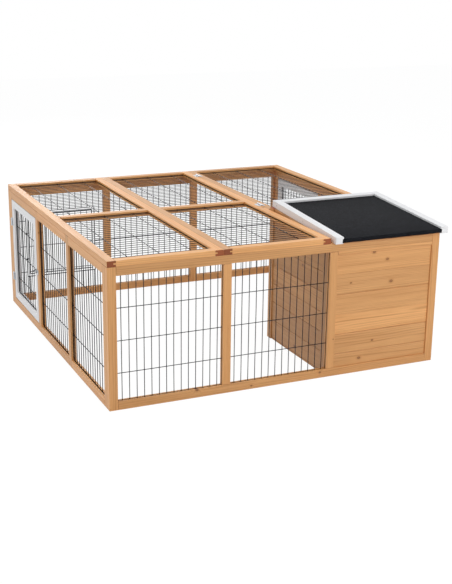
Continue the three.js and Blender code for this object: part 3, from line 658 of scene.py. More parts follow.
def add_level(piece, side, z, x0, x1, low=False, high=False, width=None, tongues=True, tone=None):
    """A member that lies along the side, between two uprights, with a tongue in each of their
    grooves."""
    s = sizes()
    wide = width or s.member_width
    lot = piece.lot(tone)
    place = side.level(x0, z, s.member_thick)
    piece.add(soften(prism(grooved(wide, s.member_thick, low, high), x1 - x0), s.edge), place, lot)
    if not tongues:
        return
    near = (s.member_thick - s.groove_width) / 2 + TONGUE_FIT
    section = rectangle(wide - 2 * TONGUE_FIT, s.groove_width - 2 * TONGUE_FIT, TONGUE_FIT, near)
    reach, root = s.groove_depth - TONGUE_FIT, 1.0 * MM
    for start in (-reach, x1 - x0 - root):
        piece.add(prism(section, reach + root), place @ Matrix.Translation((start, 0, 0)), lot)


def stile_places(run, count):
    """Where uprights start that divide a side evenly."""
    return [i * (run - sizes().member_width) / (count - 1) for i in range(count)]


def add_wall_frame(piece, side, run, height, grooved_bays, stiles=4):
    """Uprights over the full height and rails between them. Only grooved bays hold a net or planks."""
    s = sizes()
    starts = stile_places(run, stiles)
    for i, x in enumerate(starts):
        add_upright(piece, side, x, 0, height, low=i - 1 in grooved_bays, high=i in grooved_bays)
    for i, (x, following) in enumerate(zip(starts, starts[1:])):
        held = i in grooved_bays
        ends = (x + s.member_width, following)
        add_level(piece, side, 0, *ends, high=held, tongues=held)
        add_level(piece, side, height - s.member_width, *ends, low=held, tongues=held)


def add_panel_frame(piece, side, bars, edge=None, tones=(None, None)):
    """Two uprights and evenly spaced bars between them, grooved for a net in every bay."""
    s = sizes()
    right = side.width - s.member_width
    add_upright(piece, side, 0, 0, side.height, high=True, edge=edge, tone=tones[0])
    add_upright(piece, side, right, 0, side.height, low=True, edge=edge, tone=tones[1])
    for i, z in enumerate(stile_places(side.height, bars)):
        add_level(piece, side, z, s.member_width, right, low=i > 0, high=i < bars - 1)


def seam_heights(top, low, high):
    """Heights of the plank seams between low and high, counted from the seam at top."""
    pitch = sizes().plank_pitch
    first = top - math.floor((top - low) / pitch) * pitch
    count = int((high - first) / pitch) + 1
    return [first + i * pitch for i in range(count) if low < first + i * pitch < high - 2 * MM]


def plank_section(height, thick, low_chamfer, high_chamfer, low_gap, high_gap):
    """A board on edge: y up its face, z outwards. Its outer edges are chamfered at the seams."""
    low, high = low_gap / 2, height - high_gap / 2
    section = [(low, 0), (high, 0), (high, thick - high_chamfer)]
    if high_chamfer:
        section.append((high - high_chamfer, thick))
    if low_chamfer:
        section.append((low + low_chamfer, thick))
    return [*section, (low, thick - low_chamfer)]


TIGHT_CHAMFER = 0.35        # share of the chamfer that a tight seam has
SAME_SEAM = 4 * MM          # a seam is open if it lies this close to one of the open heights


def add_planks(piece, side, x0, x1, z0, z1, top, outer, thick, open_seams=None, hole=None, tones=None):
    """Boards laid on edge over a bay. Their outer face is at depth outer. Open seams show a dark
    gap, and the others are tight. A hole is ((x0, x1), (z0, z1)) and is left out of the boards.
    Tones are given from the lowest board up, or drawn."""
    s = sizes()
    seams = seam_heights(top, z0, z1)
    levels = [z0, *seams, z1]
    for i, (low, high) in enumerate(zip(levels, levels[1:])):
        lot = piece.lot(tones[i] if tones else None)
        for part_low, part_high, ends in cut_board(low, high, (x0, x1), hole):
            chamfers, gaps = [], []
            for z, is_cut in ((part_low, part_low != low), (part_high, part_high != high)):
                tight = open_seams is not None and not any(abs(z - seam) < SAME_SEAM for seam in open_seams)
                bare = is_cut or z in (z0, z1)
                chamfers.append(0.0 if bare else s.plank_chamfer * (TIGHT_CHAMFER if tight else 1.0))
                gaps.append(TONGUE_FIT if bare or tight else s.plank_gap)
            section = plank_section(part_high - part_low, thick, *chamfers, *gaps)
            for start, end in ends:
                place = side.level(start, part_low, outer + thick)
                shifted = (lot[0] + Vector((start, part_low - low, 0)), lot[1])
                piece.add(soften(prism(section, end - start), 0.4 * MM, 1, 50), place, shifted)


def cut_board(low, high, ends, hole):
    """A board's parts beside, below and above a hole, as (low, high, [(start, end), ...])."""
    if not hole or hole[1][1] <= low or hole[1][0] >= high:
        return [(low, high, [ends])]
    (left, right), (sill, head) = hole
    parts = []
    if sill > low:
        parts.append((low, sill, [ends]))
    parts.append((max(low, sill), min(high, head), [(ends[0], left), (right, ends[1])]))
    if head < high:
        parts.append((head, high, [ends]))
    return parts


def cut_above(bm, point, normal):
    """Cuts off what lies above the plane and closes the cut."""
    cut = bmesh.ops.bisect_plane(bm, geom=bm.verts[:] + bm.edges[:] + bm.faces[:], dist=1e-6,
                                 plane_co=point, plane_no=normal, clear_outer=True)
    rim = [item for item in cut["geom_cut"] if isinstance(item, bmesh.types.BMEdge)]
    if rim:
        bmesh.ops.edgeloop_fill(bm, edges=rim)


def trim_top(bm, place):
    """Cuts a part off along the roof line, in the object's space."""
    bm.transform(place)
    cut_above(bm, *roof_line())
    bm.transform(place.inverted())
    return bm


# ------------------------------------------------------------------ wire
WELD = 0.48                 # each layer's distance from the middle of the net, in wire diameters
HOLD = 4 * MM               # how far the wires reach into the grooves


def centred(low, high, pitch):
    """Places at one pitch, centred between low and high."""
    count = int((high - low) / pitch)
    first = (low + high - (count - 1) * pitch) / 2
    return [first + i * pitch for i in range(count)]


def rows_between(low, high):
    """Heights of the wide spaced rows of a wall net."""
    s = sizes()
    heights = [s.lowest_row + i * s.row_pitch for i in range(6)]
    return [z for z in heights if low + s.wire < z < high - s.wire]


def add_wire(piece, side, start, end, radius=None, slack=0.6 * MM, rings=6):
    """A wire from start to end in the side's own space, a little off straight."""
    pick = piece.random.uniform
    start, end = Vector(start), Vector(end)
    bow = Vector((pick(-slack, slack), pick(-slack, slack) * 0.3, pick(-slack, slack)))
    second = Vector((pick(-slack, slack), 0, pick(-slack, slack))) * 0.5
    points = []
    for i in range(rings):
        t = i / (rings - 1)
        off = bow * math.sin(math.pi * t) + second * math.sin(2 * math.pi * t)
        points.append(start.lerp(end, t) + off)
    piece.add(tube(points, radius or sizes().wire / 2), side.matrix, smooth=True)


def net_layers(wire):
    """Depths of the upright wires and of the rows that are welded on behind them."""
    middle = sizes().member_thick / 2
    return middle - WELD * wire, middle + WELD * wire


def net_bay(side, node):
    """The bay that a net fills. Its node's box reaches into the grooves, where the wires end."""
    reach = sizes().groove_depth - FIT
    (x0, x1), _, (z0, z1) = side.span(node)
    return (x0 + reach, x1 - reach), (z0 + reach, z1 - reach)


def add_net(piece, side, node, wire, uprights=None, rows=None, skip=None):
    """The wires of one net, with those of the opening skip left out."""
    gap_x, gap_z = net_bay(side, node)
    front, back = net_layers(wire)
    uprights = uprights if uprights is not None else centred(*gap_x, sizes().wire_pitch)
    rows = rows if rows is not None else rows_between(*gap_z)
    for x in uprights:
        for low, high in outside(gap_z[0] - HOLD, gap_z[1] + HOLD, skip, x, 0):
            add_wire(piece, side, (x, front, low), (x, front, high), wire / 2)
    for z in rows:
        for low, high in outside(gap_x[0] - HOLD, gap_x[1] + HOLD, skip, z, 1):
            add_wire(piece, side, (low, back, z), (high, back, z), wire / 2)


def outside(low, high, skip, place, axis):
    """The stretches of a wire that lie outside the opening skip, ((x0, x1), (z0, z1))."""
    if not skip or not skip[axis][0] < place < skip[axis][1]:
        return [(low, high)]
    start, end = skip[1 - axis]
    return [(low, start), (end, high)]


# ------------------------------------------------------------------ fittings
def screw(radius):
    """A countersunk head with a cross recess, its face at z 0 and facing +z."""
    bm = bmesh.new()
    arm, web, depth, dome = (share * radius for share in (0.62, 0.17, 0.45, 0.12))
    taper = 0.8                 # of the recess at its floor
    skirt_size, skirt_depth = 0.9, 0.3 * radius
    rim = [bm.verts.new((radius * x, radius * y, 0)) for x, y in circle(16)]
    plus = [(arm, -web), (arm, web), (web, web), (web, arm), (-web, arm), (-web, web), (-arm, web),
            (-arm, -web), (-web, -web), (-web, -arm), (web, -arm), (web, -web)]
    cross = [bm.verts.new((x, y, dome)) for x, y in plus]
    floor = [bm.verts.new((x * taper, y * taper, -depth)) for x, y in plus]
    loops = [bm.edges.new((ring[i], ring[(i + 1) % len(ring)])) for ring in (rim, cross)
             for i in range(len(ring))]
    bmesh.ops.triangle_fill(bm, use_beauty=True, edges=loops, normal=(0, 0, 1))
    inside = [f for f in bm.faces if all(v in cross for v in f.verts)]
    bmesh.ops.delete(bm, geom=inside, context="FACES_ONLY")
    add_band(bm, cross, floor)
    bm.faces.new(floor)
    skirt = [bm.verts.new((v.co.x * skirt_size, v.co.y * skirt_size, -skirt_depth)) for v in rim]
    add_band(bm, skirt, rim)
    bmesh.ops.recalc_face_normals(bm, faces=bm.faces)
    return bm


def add_screw(piece, place, radius=None, proud=0.2 * MM):
    """A screw head on a face: place has its z out of the wood."""
    spin = Matrix.Rotation(piece.random.uniform(0, math.pi), 4, "Z")
    piece.add(screw(radius or sizes().screw_head / 2), place @ Matrix.Translation((0, 0, proud)) @ spin)


SHEET = 1.2 * MM            # thickness of hinge leaves and bolt plates
KNUCKLE = 3.0 * MM          # radius of a hinge's knuckles
KNUCKLE_PLAY = 0.2 * MM     # on each side of a joint between knuckles
LEAF = 15.0 * MM            # from the pin to the edge of a leaf
STANDOFF = 3.3 * MM         # from the wood to the pin
PIN_HEAD = 1.6 * MM
LEAF_SCREW = 2.3 * MM       # radius of a leaf's screws
LEAF_SCREW_OUT = 0.62       # their place, as a share of the leaf's flat part


def metal_plate(run, height, y, z, rounding, far_end_only=False):
    """A plate from x 0 to run with its corner at y and z, and with rounded corners."""
    plate = prism(rectangle(SHEET, height, y, z), run)
    corners = [e for e in plate.edges if abs((e.verts[0].co - e.verts[1].co).y) > 0.9 * SHEET
               and (not far_end_only or min(v.co.x for v in e.verts) > run - 0.01 * MM)]
    bmesh.ops.bevel(plate, geom=corners, offset=rounding, segments=4, profile=0.5, affect="EDGES")
    return soften(plate, 0.25 * MM, 1, 60)


def add_leaf(piece, place, moving, run, knuckles=3, drop=0.0, screws=2):
    """A hinge leaf in the hinge's own space: the moving leaf lies towards +x, the pin along z, and
    y points away from the faces that carry the leaves."""
    way = 1 if moving else -1
    start = KNUCKLE + 0.4 * MM
    face = -KNUCKLE - drop
    mirror = place @ Matrix.Scale(way, 4, X)
    shift = mirror @ Matrix.Translation((start, 0, 0))
    piece.add(metal_plate(LEAF - start, run, face, -run / 2, 2.5 * MM, far_end_only=True), shift)
    if drop:
        piece.add(prism(rectangle(drop + SHEET, run, face, -run / 2), SHEET), shift)
    pitch, rim = run / knuckles, 0.35 * MM
    for i in range(1 if moving else 0, knuckles, 2):
        z0 = -run / 2 + i * pitch + (KNUCKLE_PLAY if i else 0.0)
        z1 = -run / 2 + (i + 1) * pitch - (KNUCKLE_PLAY if i < knuckles - 1 else 0.0)
        piece.add(prism(rectangle(SHEET, z1 - z0, -KNUCKLE, z0), start + SHEET), mirror)
        piece.add(round_bar(KNUCKLE, z0, z1, rim, 20), place, smooth=True)
    if moving:
        end = run / 2 + 0.6 * MM
        piece.add(round_bar(PIN_HEAD, -end, end, 0.4 * MM, 14), place, smooth=True)
    for i in range(screws):
        z = ((i + 0.5) / screws - 0.5) * run * (0.94 if screws > 2 else 1.0)
        spot = Vector((way * (start + LEAF_SCREW_OUT * (LEAF - start)), face + SHEET, z))
        add_screw(piece, place @ axes(X, -Z, Y, spot), LEAF_SCREW, 0.1 * MM)


BOLT_AXIS = 4.3 * MM        # from the wood to the rod's middle
BOLT_ROD = 2.3 * MM
BOLT_PLATE_X = (-23 * MM, -1 * MM)
BOLT_KEEPER_X = (4 * MM, 22 * MM)
BOLT_KNOB_X = -13.2 * MM
BOLT_TAIL_X = -30.5 * MM    # inner end of the rod, drawn back from the keeper
BOLT_PLATE_HEIGHT = 18 * MM
GUIDE_HALF = 4.3 * MM
GUIDE_WALL = 1.5 * MM
GUIDE_RUN = 3.0 * MM
GUIDE_FOOT = 0.9 * MM       # height of the straps' feet, inside the plate
PLATE_SCREW = 1.6 * MM      # radius of the screws in a bolt's plates
PLATE_SCREW_INSET = 3.4 * MM
PLATE_SCREW_OFF = 6.4 * MM  # from the plate's middle line


def add_strip_guide(piece, place, x0):
    """A strap that arches over the rod of a bolt: y up from the plate, z across."""
    steps = 10
    turns = [math.pi * i / steps for i in range(steps + 1)]
    inner = GUIDE_HALF - GUIDE_WALL
    outside_arc, inside_arc = ([(BOLT_AXIS + half * math.sin(turn), half * math.cos(turn)) for turn in turns]
                               for half in (GUIDE_HALF, inner))
    section = [(GUIDE_FOOT, GUIDE_HALF), *outside_arc, (GUIDE_FOOT, -GUIDE_HALF), (GUIDE_FOOT, -inner),
               *reversed(inside_arc), (GUIDE_FOOT, inner)]
    piece.add(prism(section, GUIDE_RUN), place @ Matrix.Translation((x0, 0, 0)))


def add_bolt_plate(piece, place, x0, x1):
    """A plate with four screws."""
    plate = metal_plate(x1 - x0, BOLT_PLATE_HEIGHT, FIT, -BOLT_PLATE_HEIGHT / 2, 2.2 * MM)
    piece.add(plate, place @ Matrix.Translation((x0, 0, 0)))
    for x in (x0 + PLATE_SCREW_INSET, x1 - PLATE_SCREW_INSET):
        for z in (-PLATE_SCREW_OFF, PLATE_SCREW_OFF):
            add_screw(piece, place @ axes(X, -Z, Y, Vector((x, FIT + SHEET, z))), PLATE_SCREW, 0.0)


def add_bolt(body, keeper, slider, place):
    """A barrel bolt on a door: x from the door's free edge towards the wall, y off the wood."""
    inner, edge = BOLT_PLATE_X
    add_bolt_plate(body, place, inner, edge)
    for x in (inner, edge - GUIDE_RUN):
        add_strip_guide(body, place, x)
    add_bolt_plate(keeper, place, *BOLT_KEEPER_X)
    add_strip_guide(keeper, place, BOLT_KEEPER_X[0])

    round_x = place @ Matrix.Translation((0, BOLT_AXIS, 0)) @ Matrix.Rotation(math.pi / 2, 4, "Y")
    rod = round_bar(BOLT_ROD, BOLT_TAIL_X, 0, 0.5 * MM, 16, high_rim=1.0 * MM)
    slider.add(rod, round_x, smooth=True)
    round_y = (place @ Matrix.Translation((BOLT_KNOB_X, BOLT_AXIS, 0))
               @ Matrix.Rotation(-math.pi / 2, 4, "X"))
    stem, top, knob, thick = 1.7 * MM, 10 * MM, 3.6 * MM, 3.6 * MM
    curve = [math.radians(step) for step in range(-90, 91, 18)]
    profile = [(0, 0), (stem, 0)]
    profile += [(knob - thick / 2 * (1 - math.cos(a)), top - thick / 2 * (1 - math.sin(a))) for a in curve]
    slider.add(lathe((*profile, (0, top)), 18), round_y, smooth=True)


COIL_WIRE = 2.0 * MM
COIL_GAP = 1.3 * MM         # from the rod's face to the middle of the wire wound round it
COIL_TURNS, COIL_PITCH = 3.5, 2.1 * MM


def add_coil(piece, side, centre, tail=None):
    """A wire wound round a rod that stands at centre, and its tail to the piece that it carries."""
    steps = 12
    radius = sizes().rod / 2 + COIL_GAP
    base = Vector(centre) - Vector((0, 0, COIL_TURNS * COIL_PITCH / 2))
    points = []
    for i in range(int(COIL_TURNS * steps) + 1):
        x, y = circle(steps)[i % steps]
        points.append(base + Vector((radius * x, radius * y, COIL_PITCH * i / steps)))
    if tail:
        points.append(Vector(tail))
    piece.add(tube(points, COIL_WIRE / 2, 6), side.matrix, smooth=True)


# ------------------------------------------------------------------ the sides of the run
# The nodes that span each wall, then the ways along it and inwards, seen from outside.
WALLS = {"front": (("front_stile_left", "front_stile_right"), X, Y),
         "left": (("left_wall_frame",), -Y, X),
         "right": (("right_wall_frame",), Y, -X),
         "back": (("back_wall_frame",), -X, -Y)}


def wall(name):
    return Side(*WALLS[name])


def roof_side(node):
    return Side((node,), X, -Z)


def plank_top():
    """Height of the uppermost plank seam of every planked wall."""
    return wall("front").height - sizes().head_rail


ROOF_PITCH = math.radians(3.7)


def house_roof_space():
    """The house roof's own space: x to the right, y up the slope from the front ends of the trims,
    z square to the roof from their underside."""
    corner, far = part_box("house_roof_trim_left")
    thick = (far.z - corner.z - (far.y - corner.y) * math.tan(ROOF_PITCH)) * math.cos(ROOF_PITCH)
    origin = Vector((corner.x, corner.y + thick * math.sin(ROOF_PITCH), corner.z))
    return Matrix.Translation(origin) @ Matrix.Rotation(ROOF_PITCH, 4, "X")


def roof_line():
    """A point and the normal of the plane that the tops of the house walls are cut to."""
    space = house_roof_space()
    return space.translation - FIT * Z, space.to_3x3() @ Z


def span_in(matrix, node):
    """The node's box in another space, from all its corners."""
    back = matrix.inverted()
    corners = [back @ vert.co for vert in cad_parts[node].data.vertices]
    return [(min(c[i] for c in corners), max(c[i] for c in corners)) for i in range(3)]


def cad_copy(node, width, segments=2):
    """A copy of a node's own shape with its flat faces joined and its edges rounded."""
    bm = bmesh.new()
    bm.from_mesh(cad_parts[node].data)
    bmesh.ops.remove_doubles(bm, verts=bm.verts, dist=1e-6)
    bmesh.ops.dissolve_limit(bm, angle_limit=math.radians(1), verts=bm.verts, edges=bm.edges)
    bmesh.ops.recalc_face_normals(bm, faces=bm.faces)
    return soften(bm, width, segments, 50)


# ------------------------------------------------------------------ operators
class RABBITRUN_OT_front_wall(Operator):
    """Posts and rails of the front wall, which are separate timbers"""
    bl_idname = "rabbitrun.front_wall"
    bl_label = "Front wall"

    def execute(self, context):
        side = wall("front")
        for name, node, low, high, tone in (
                ("front_post_left", "front_stile_left", False, True, 0.9),
                ("front_post_middle", "front_stile_middle", True, True, 1.1),
                ("front_post_house", "front_stile_house", True, True, 0.7),
                ("front_post_right", "front_stile_right", True, False, 0.8)):
            (x0, _), _, (z0, z1) = side.span(node)
            piece = Piece(name, "run")
            add_upright(piece, side, x0, z0, z1, low, high, tone=tone)
            piece.finish("Fir", "bare_fir", node)

        (x0, x1), _, (z0, _) = side.span("front_rail_bottom")
        sill = Piece("front_sill_rail", "run")
        add_level(sill, side, z0, x0, x1, high=True, tone=0.5)
        sill.finish("Fir", "bare_fir", "front_rail_bottom")

        s = sizes()
        (x0, x1), _, (_, z1) = side.span("front_rail_top")
        rail_z = z1 - s.member_width
        head = Piece("front_head_rail", "run")
        add_level(head, side, rail_z, x0, x1, low=True)
        house_x = side.span("front_stile_house")[0][1]
        add_level(head, side, plank_top(), house_x + FIT, x1, width=rail_z - plank_top(), tongues=False)
        head.finish("Fir", "bare_fir", "front_rail_top")
        return {"FINISHED"}


class RABBITRUN_OT_wall_frames(Operator):
    """Glued frames of the left, right and back walls"""
    bl_idname = "rabbitrun.wall_frames"
    bl_label = "Wall frames"

    def execute(self, context):
        height = wall("front").height
        for name, node, side, held in (
                ("left_wall_timbers", "left_wall_frame", wall("left"), (1, 2)),
                ("right_wall_timbers", "right_wall_frame", wall("right"), (0, 1)),
                ("back_wall_timbers", "back_wall_frame", wall("back"), (0, 1, 2))):
            piece = Piece(name, "run")
            add_wall_frame(piece, side, side.width, height, held)
            if node == "right_wall_frame":
                self.add_gable(piece, side, height)
            piece.finish("Fir", "bare_fir", node)
        return {"FINISHED"}

    def add_gable(self, piece, side, height):
        """The wedge on the top rail that closes the gable under the house roof."""
        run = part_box("house_back_wall")[1].y - side.matrix.translation.y
        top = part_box("right_wall_frame")[1].z - side.matrix.translation.z
        near = top - run * math.tan(ROOF_PITCH)
        section = [(0, height), (run, height), (run, top), (0, near)]
        wedge = soften(prism(section, sizes().member_thick), 0.5 * MM)
        piece.add(wedge, side.matrix @ axes(Y, X, Z, Vector((0, 0, 0))), grain_from=side.inverse)


class RABBITRUN_OT_roof_frames(Operator):
    """The two fixed roof frames and the frame of the lid"""
    bl_idname = "rabbitrun.roof_frames"
    bl_label = "Roof frames"

    def execute(self, context):
        for name, node, body, bars, tones in (
                ("roof_timbers_left", "roof_frame_left", "run", 3, (0.5, 1.2)),
                ("roof_timbers_middle", "roof_frame_middle", "run", 3, (0.0, 1.2)),
                ("lid_timbers", "lid_frame", "lid", 2, (0.0, 0.6))):
            piece = Piece(name, body)
            add_panel_frame(piece, roof_side(node), bars, sizes().roof_edge, tones)
            # The roof timbers take the lighter fir, as painted light.
            piece.finish("Fir roof", "bare_fir", node)
        return {"FINISHED"}


STAPLE_RADIUS = 0.7 * MM    # of its wire
STAPLE_LEG = 2.0 * MM       # how far its legs reach past the bay's edge, over the timber
STAPLE_CROWN = 0.5 * MM     # how far its crown stands into the bay


class RABBITRUN_OT_nets(Operator):
    """Welded nets of the walls, doors and roof"""
    bl_idname = "rabbitrun.nets"
    bl_label = "Nets"

    def execute(self, context):
        s = sizes()
        for side, nodes in ((wall("front"), ("front_net_left", "front_net_middle")),
                            (wall("left"), ("left_net_middle", "left_net_front", "left_door_net")),
                            (wall("right"), ("right_net_middle", "right_door_net")),
                            (wall("back"), ("back_net_right", "back_net_middle"))):
            for node in nodes:
                body = node.replace("_net", "") if "door" in node else "run"
                self.make(side, node, body, s.wire)
        for frame_node, nodes in (("roof_frame_left", ("roof_net_left_front", "roof_net_left_back")),
                                  ("roof_frame_middle", ("roof_net_middle_front", "roof_net_middle_back")),
                                  ("lid_frame", ("lid_net",))):
            side = roof_side(frame_node)
            for node in nodes:
                across, along = net_bay(side, node)
                body = "lid" if node == "lid_net" else "run"
                uprights = centred(*across, s.row_pitch)
                self.make(side, node, body, s.roof_wire, uprights, centred(*along, s.wire_pitch))
                self.staples(side, node, body, uprights, along)
        return {"FINISHED"}

    def staples(self, side, node, body, uprights, ends):
        """A staple over the groove where each wide spaced wire of a roof net enters it."""
        s = sizes()
        piece = Piece(f"{node}_staples", body)
        reach = s.groove_width / 2 + 2 * MM
        middle = s.member_thick / 2
        for x in uprights:
            for z, way in zip(ends, (1, -1)):
                tilt = piece.random.uniform(-1, 1) * MM
                legs = [Vector((x + tilt * k, middle + reach * k, z - way * STAPLE_LEG)) for k in (-1, 1)]
                crown = [Vector((leg.x, leg.y, z + way * STAPLE_CROWN)) for leg in legs]
                bent = tube((legs[0], *crown, legs[1]), STAPLE_RADIUS, 6)
                piece.add(bent, side.matrix, smooth=True)
        piece.finish("Coated wire", "coated_wire")

    def make(self, side, node, body, wire, uprights=None, rows=None):
        piece = Piece(f"{node}_wires", body)
        add_net(piece, side, node, wire, uprights, rows)
        piece.finish("Coated wire", "coated_wire", node)


REAR_HINGE_INSET = 36 * MM  # from the bay's edge to the rod that the door hangs on
REAR_MARGIN = 11 * MM       # between the opening's rods and the door's
LATCH_CLEAR = 0.5 * MM      # the latch's arm passes the net's wires with this much air


class RABBITRUN_OT_rear_door(Operator):
    """The net with its opening in the back wall, the wire door in it and the latch"""
    bl_idname = "rabbitrun.rear_door"
    bl_label = "Rear wire door"

    def execute(self, context):
        s = sizes()
        side = wall("back")
        node = "back_net_door_bay"
        middle, rod, wire = s.member_thick / 2, s.rod / 2, s.wire
        bay, heights = net_bay(side, node)
        hinge = bay[1] - REAR_HINGE_INSET
        door_x, _, door_z = side.span("rear_wire_door")
        free = door_x[0] + rod
        opening = (free - REAR_MARGIN, hinge)
        opening_z = (door_z[0] + rod - REAR_MARGIN, door_z[1] - rod + REAR_MARGIN)
        eye = rod + 2.5 * MM        # reach of the door's coils, which no upright crosses
        uprights = centred(*bay, s.wire_pitch)

        net = Piece("back_net_door_bay_wires", "run")
        clear = [x for x in uprights if abs(x - hinge) > eye + wire]
        add_net(net, side, node, wire, uprights=clear, skip=(opening, opening_z))
        self.rods(net, side, (((hinge, heights[0] - HOLD), (hinge, heights[1] + HOLD)),
                              ((opening[0], opening_z[0]), (opening[0], opening_z[1])),
                              *(((opening[0], z), (opening[1], z)) for z in opening_z)))
        net.finish("Coated wire", "coated_wire", node)

        door = Piece("rear_door_wires", "rear_door")
        front, back = net_layers(wire)
        right = hinge - REAR_MARGIN
        low, high = door_z[0] + rod, door_z[1] - rod
        self.rods(door, side, (((free, low), (free, high)), ((right, low), (right, high)),
                               ((free, low), (right, low)), ((free, high), (right, high))))
        for x in centred(free, right, s.wire_pitch):
            add_wire(door, side, (x, front, low), (x, front, high))
        rows = rows_between(low, high)
        for z in rows:
            add_wire(door, side, (free, back, z), (right, back, z))
        for z, above in zip(rows, rows[1:]):
            add_coil(door, side, (hinge, middle, (z + above) / 2), tail=(right, middle, (z + above) / 2))
        door.finish("Coated wire", "coated_wire", "rear_wire_door")

        latch = Piece("rear_latch_wire", "rear_latch")
        (hook_x, _), (arm_y, _), (za, zb) = side.span("rear_door_latch")
        z = (za + zb) / 2
        half = COIL_WIRE / 2
        add_coil(latch, side, (free, middle, z))
        clear_y = arm_y + LATCH_CLEAR
        arm = [Vector((free, middle - rod - COIL_GAP, z)), Vector((free - 6 * MM, clear_y, z)),
               Vector((hook_x + 3 * MM, clear_y, z)), Vector((hook_x + half, arm_y + 2 * MM, z)),
               Vector((hook_x + half, middle - half, z))]
        latch.add(tube(arm, half, 8), side.matrix, smooth=True)
        latch.finish("Coated wire", "coated_wire", "rear_door_latch")
        return {"FINISHED"}

    def rods(self, piece, side, lines):
        """Straight thick wires in the middle of the wall, from (x, z) to (x, z)."""
        s = sizes()
        middle = s.member_thick / 2
        for (x0, z0), (x1, z1) in lines:
            add_wire(piece, side, (x0, middle, z0), (x1, middle, z1), s.rod / 2, 0.0)


class RABBITRUN_OT_side_doors(Operator):
    """Painted frames of the two side doors"""
    bl_idname = "rabbitrun.side_doors"
    bl_label = "Side doors"

    def execute(self, context):
        for name, along, inward in (("left_door", -Y, X), ("right_door", Y, -X)):
            node = f"{name}_frame"
            piece = Piece(f"{name}_timbers", name)
            add_panel_frame(piece, Side((node,), along, inward), bars=2)
            piece.finish("White paint", "white_painted_wood", node)
        return {"FINISHED"}


DOORWAY_WIDTH, DOORWAY_HEIGHT, DOORWAY_SILL = 170 * MM, 220 * MM, 40 * MM
SPARE = 20 * MM             # how much longer boards are made before the roof line cuts them


class RABBITRUN_OT_house_walls(Operator):
    """Planks of the house: front, side, partition and back with its doorway"""
    bl_idname = "rabbitrun.house_walls"
    bl_label = "House walls"

    def execute(self, context):
        s = sizes()
        top = plank_top()
        seams = seam_heights(top, 0, top)
        strong = [seams[i] for i in (1, 2, 4)]
        height = wall("front").height - s.member_width
        for name, node, side, roof, material, tones in (
                ("house_front_boards", "house_front_planks", wall("front"), top, "Fir front planks",
                 FRONT_BOARD_TONES),
                ("house_side_boards", "house_side_planks", wall("right"), height, "Fir planks", None)):
            (x0, x1), _, (z0, _) = side.span(node)
            reach = s.groove_depth - 2 * FIT
            piece = Piece(name, "run")
            add_planks(piece, side, x0 + reach, x1 - reach, s.member_width, roof, top, s.plank_recess,
                       s.plank_thick, open_seams=strong, tones=tones)
            lot = piece.lot()
            tongue = prism(rectangle(roof + reach - z0, s.groove_width - 2 * FIT), x1 - x0)
            depth = (s.member_thick + s.groove_width) / 2 - FIT
            piece.add(tongue, side.level(x0, z0, depth), lot)
            piece.finish(material, "bare_fir", node)
        self.partition(top)
        self.back_wall(top)
        return {"FINISHED"}

    def partition(self, top):
        s = sizes()
        side = Side(("house_partition",), -Y, X)
        piece = Piece("house_partition_boards", "run")
        for x in (0, side.width - s.member_width):
            place = side.upright(x, 0)
            post = soften(prism(rectangle(s.member_width, s.member_thick), side.height + SPARE), s.edge)
            piece.add(trim_top(post, place), place)
        inset = s.member_width - 2 * MM
        add_planks_to_roof(piece, side, inset, side.width - inset, top,
                           (s.member_thick - s.plank_thick) / 2, s.plank_thick)
        # The partition's boards take the darker fir, as painted shade.
        piece.finish("Fir with painted shade", "bare_fir", "house_partition")

    def back_wall(self, top):
        s = sizes()
        side = Side(("house_back_wall",), -X, -Y)
        middle, half = side.width / 2, DOORWAY_WIDTH / 2
        hole = ((middle - half, middle + half), (DOORWAY_SILL, DOORWAY_SILL + DOORWAY_HEIGHT))
        piece = Piece("house_back_boards", "run")
        add_planks_to_roof(piece, side, 0.0, side.width, top, 0.0, s.member_thick, hole)
        piece.finish("Fir planks", "bare_fir", "house_back_wall")


def add_planks_to_roof(piece, side, x0, x1, top, outer, thick, hole=None):
    """Boards from the ground up, with everything above the roof line cut off."""
    boards = Piece("boards", "run")
    boards.random = piece.random
    add_planks(boards, side, x0, x1, 0.0, side.height + SPARE, top, outer, thick, hole=hole)
    bm = bmesh.new()
    grain = bm.verts.layers.float_vector.new("grain")
    tone, cut = bm.faces.layers.float.new("tone"), bm.faces.layers.float.new("cut")
    verts = [bm.verts.new(spot) for spot in boards.verts]
    for vert, place in zip(verts, boards.grain):
        vert[grain] = place
    for corners, shade, sawn in zip(boards.faces, boards.tones, boards.cuts):
        face = bm.faces.new([verts[i] for i in corners])
        face[tone], face[cut] = shade, sawn
    cut_above(bm, *roof_line())
    bm.verts.index_update()
    first = len(piece.verts)
    piece.verts += [vert.co.copy() for vert in bm.verts]
    piece.grain += [vert[grain].copy() for vert in bm.verts]
    for face in bm.faces:
        piece.faces.append([first + vert.index for vert in face.verts])
        piece.tones.append(face[tone])
        piece.cuts.append(face[cut])
        piece.smooth.append(False)
    bm.free()


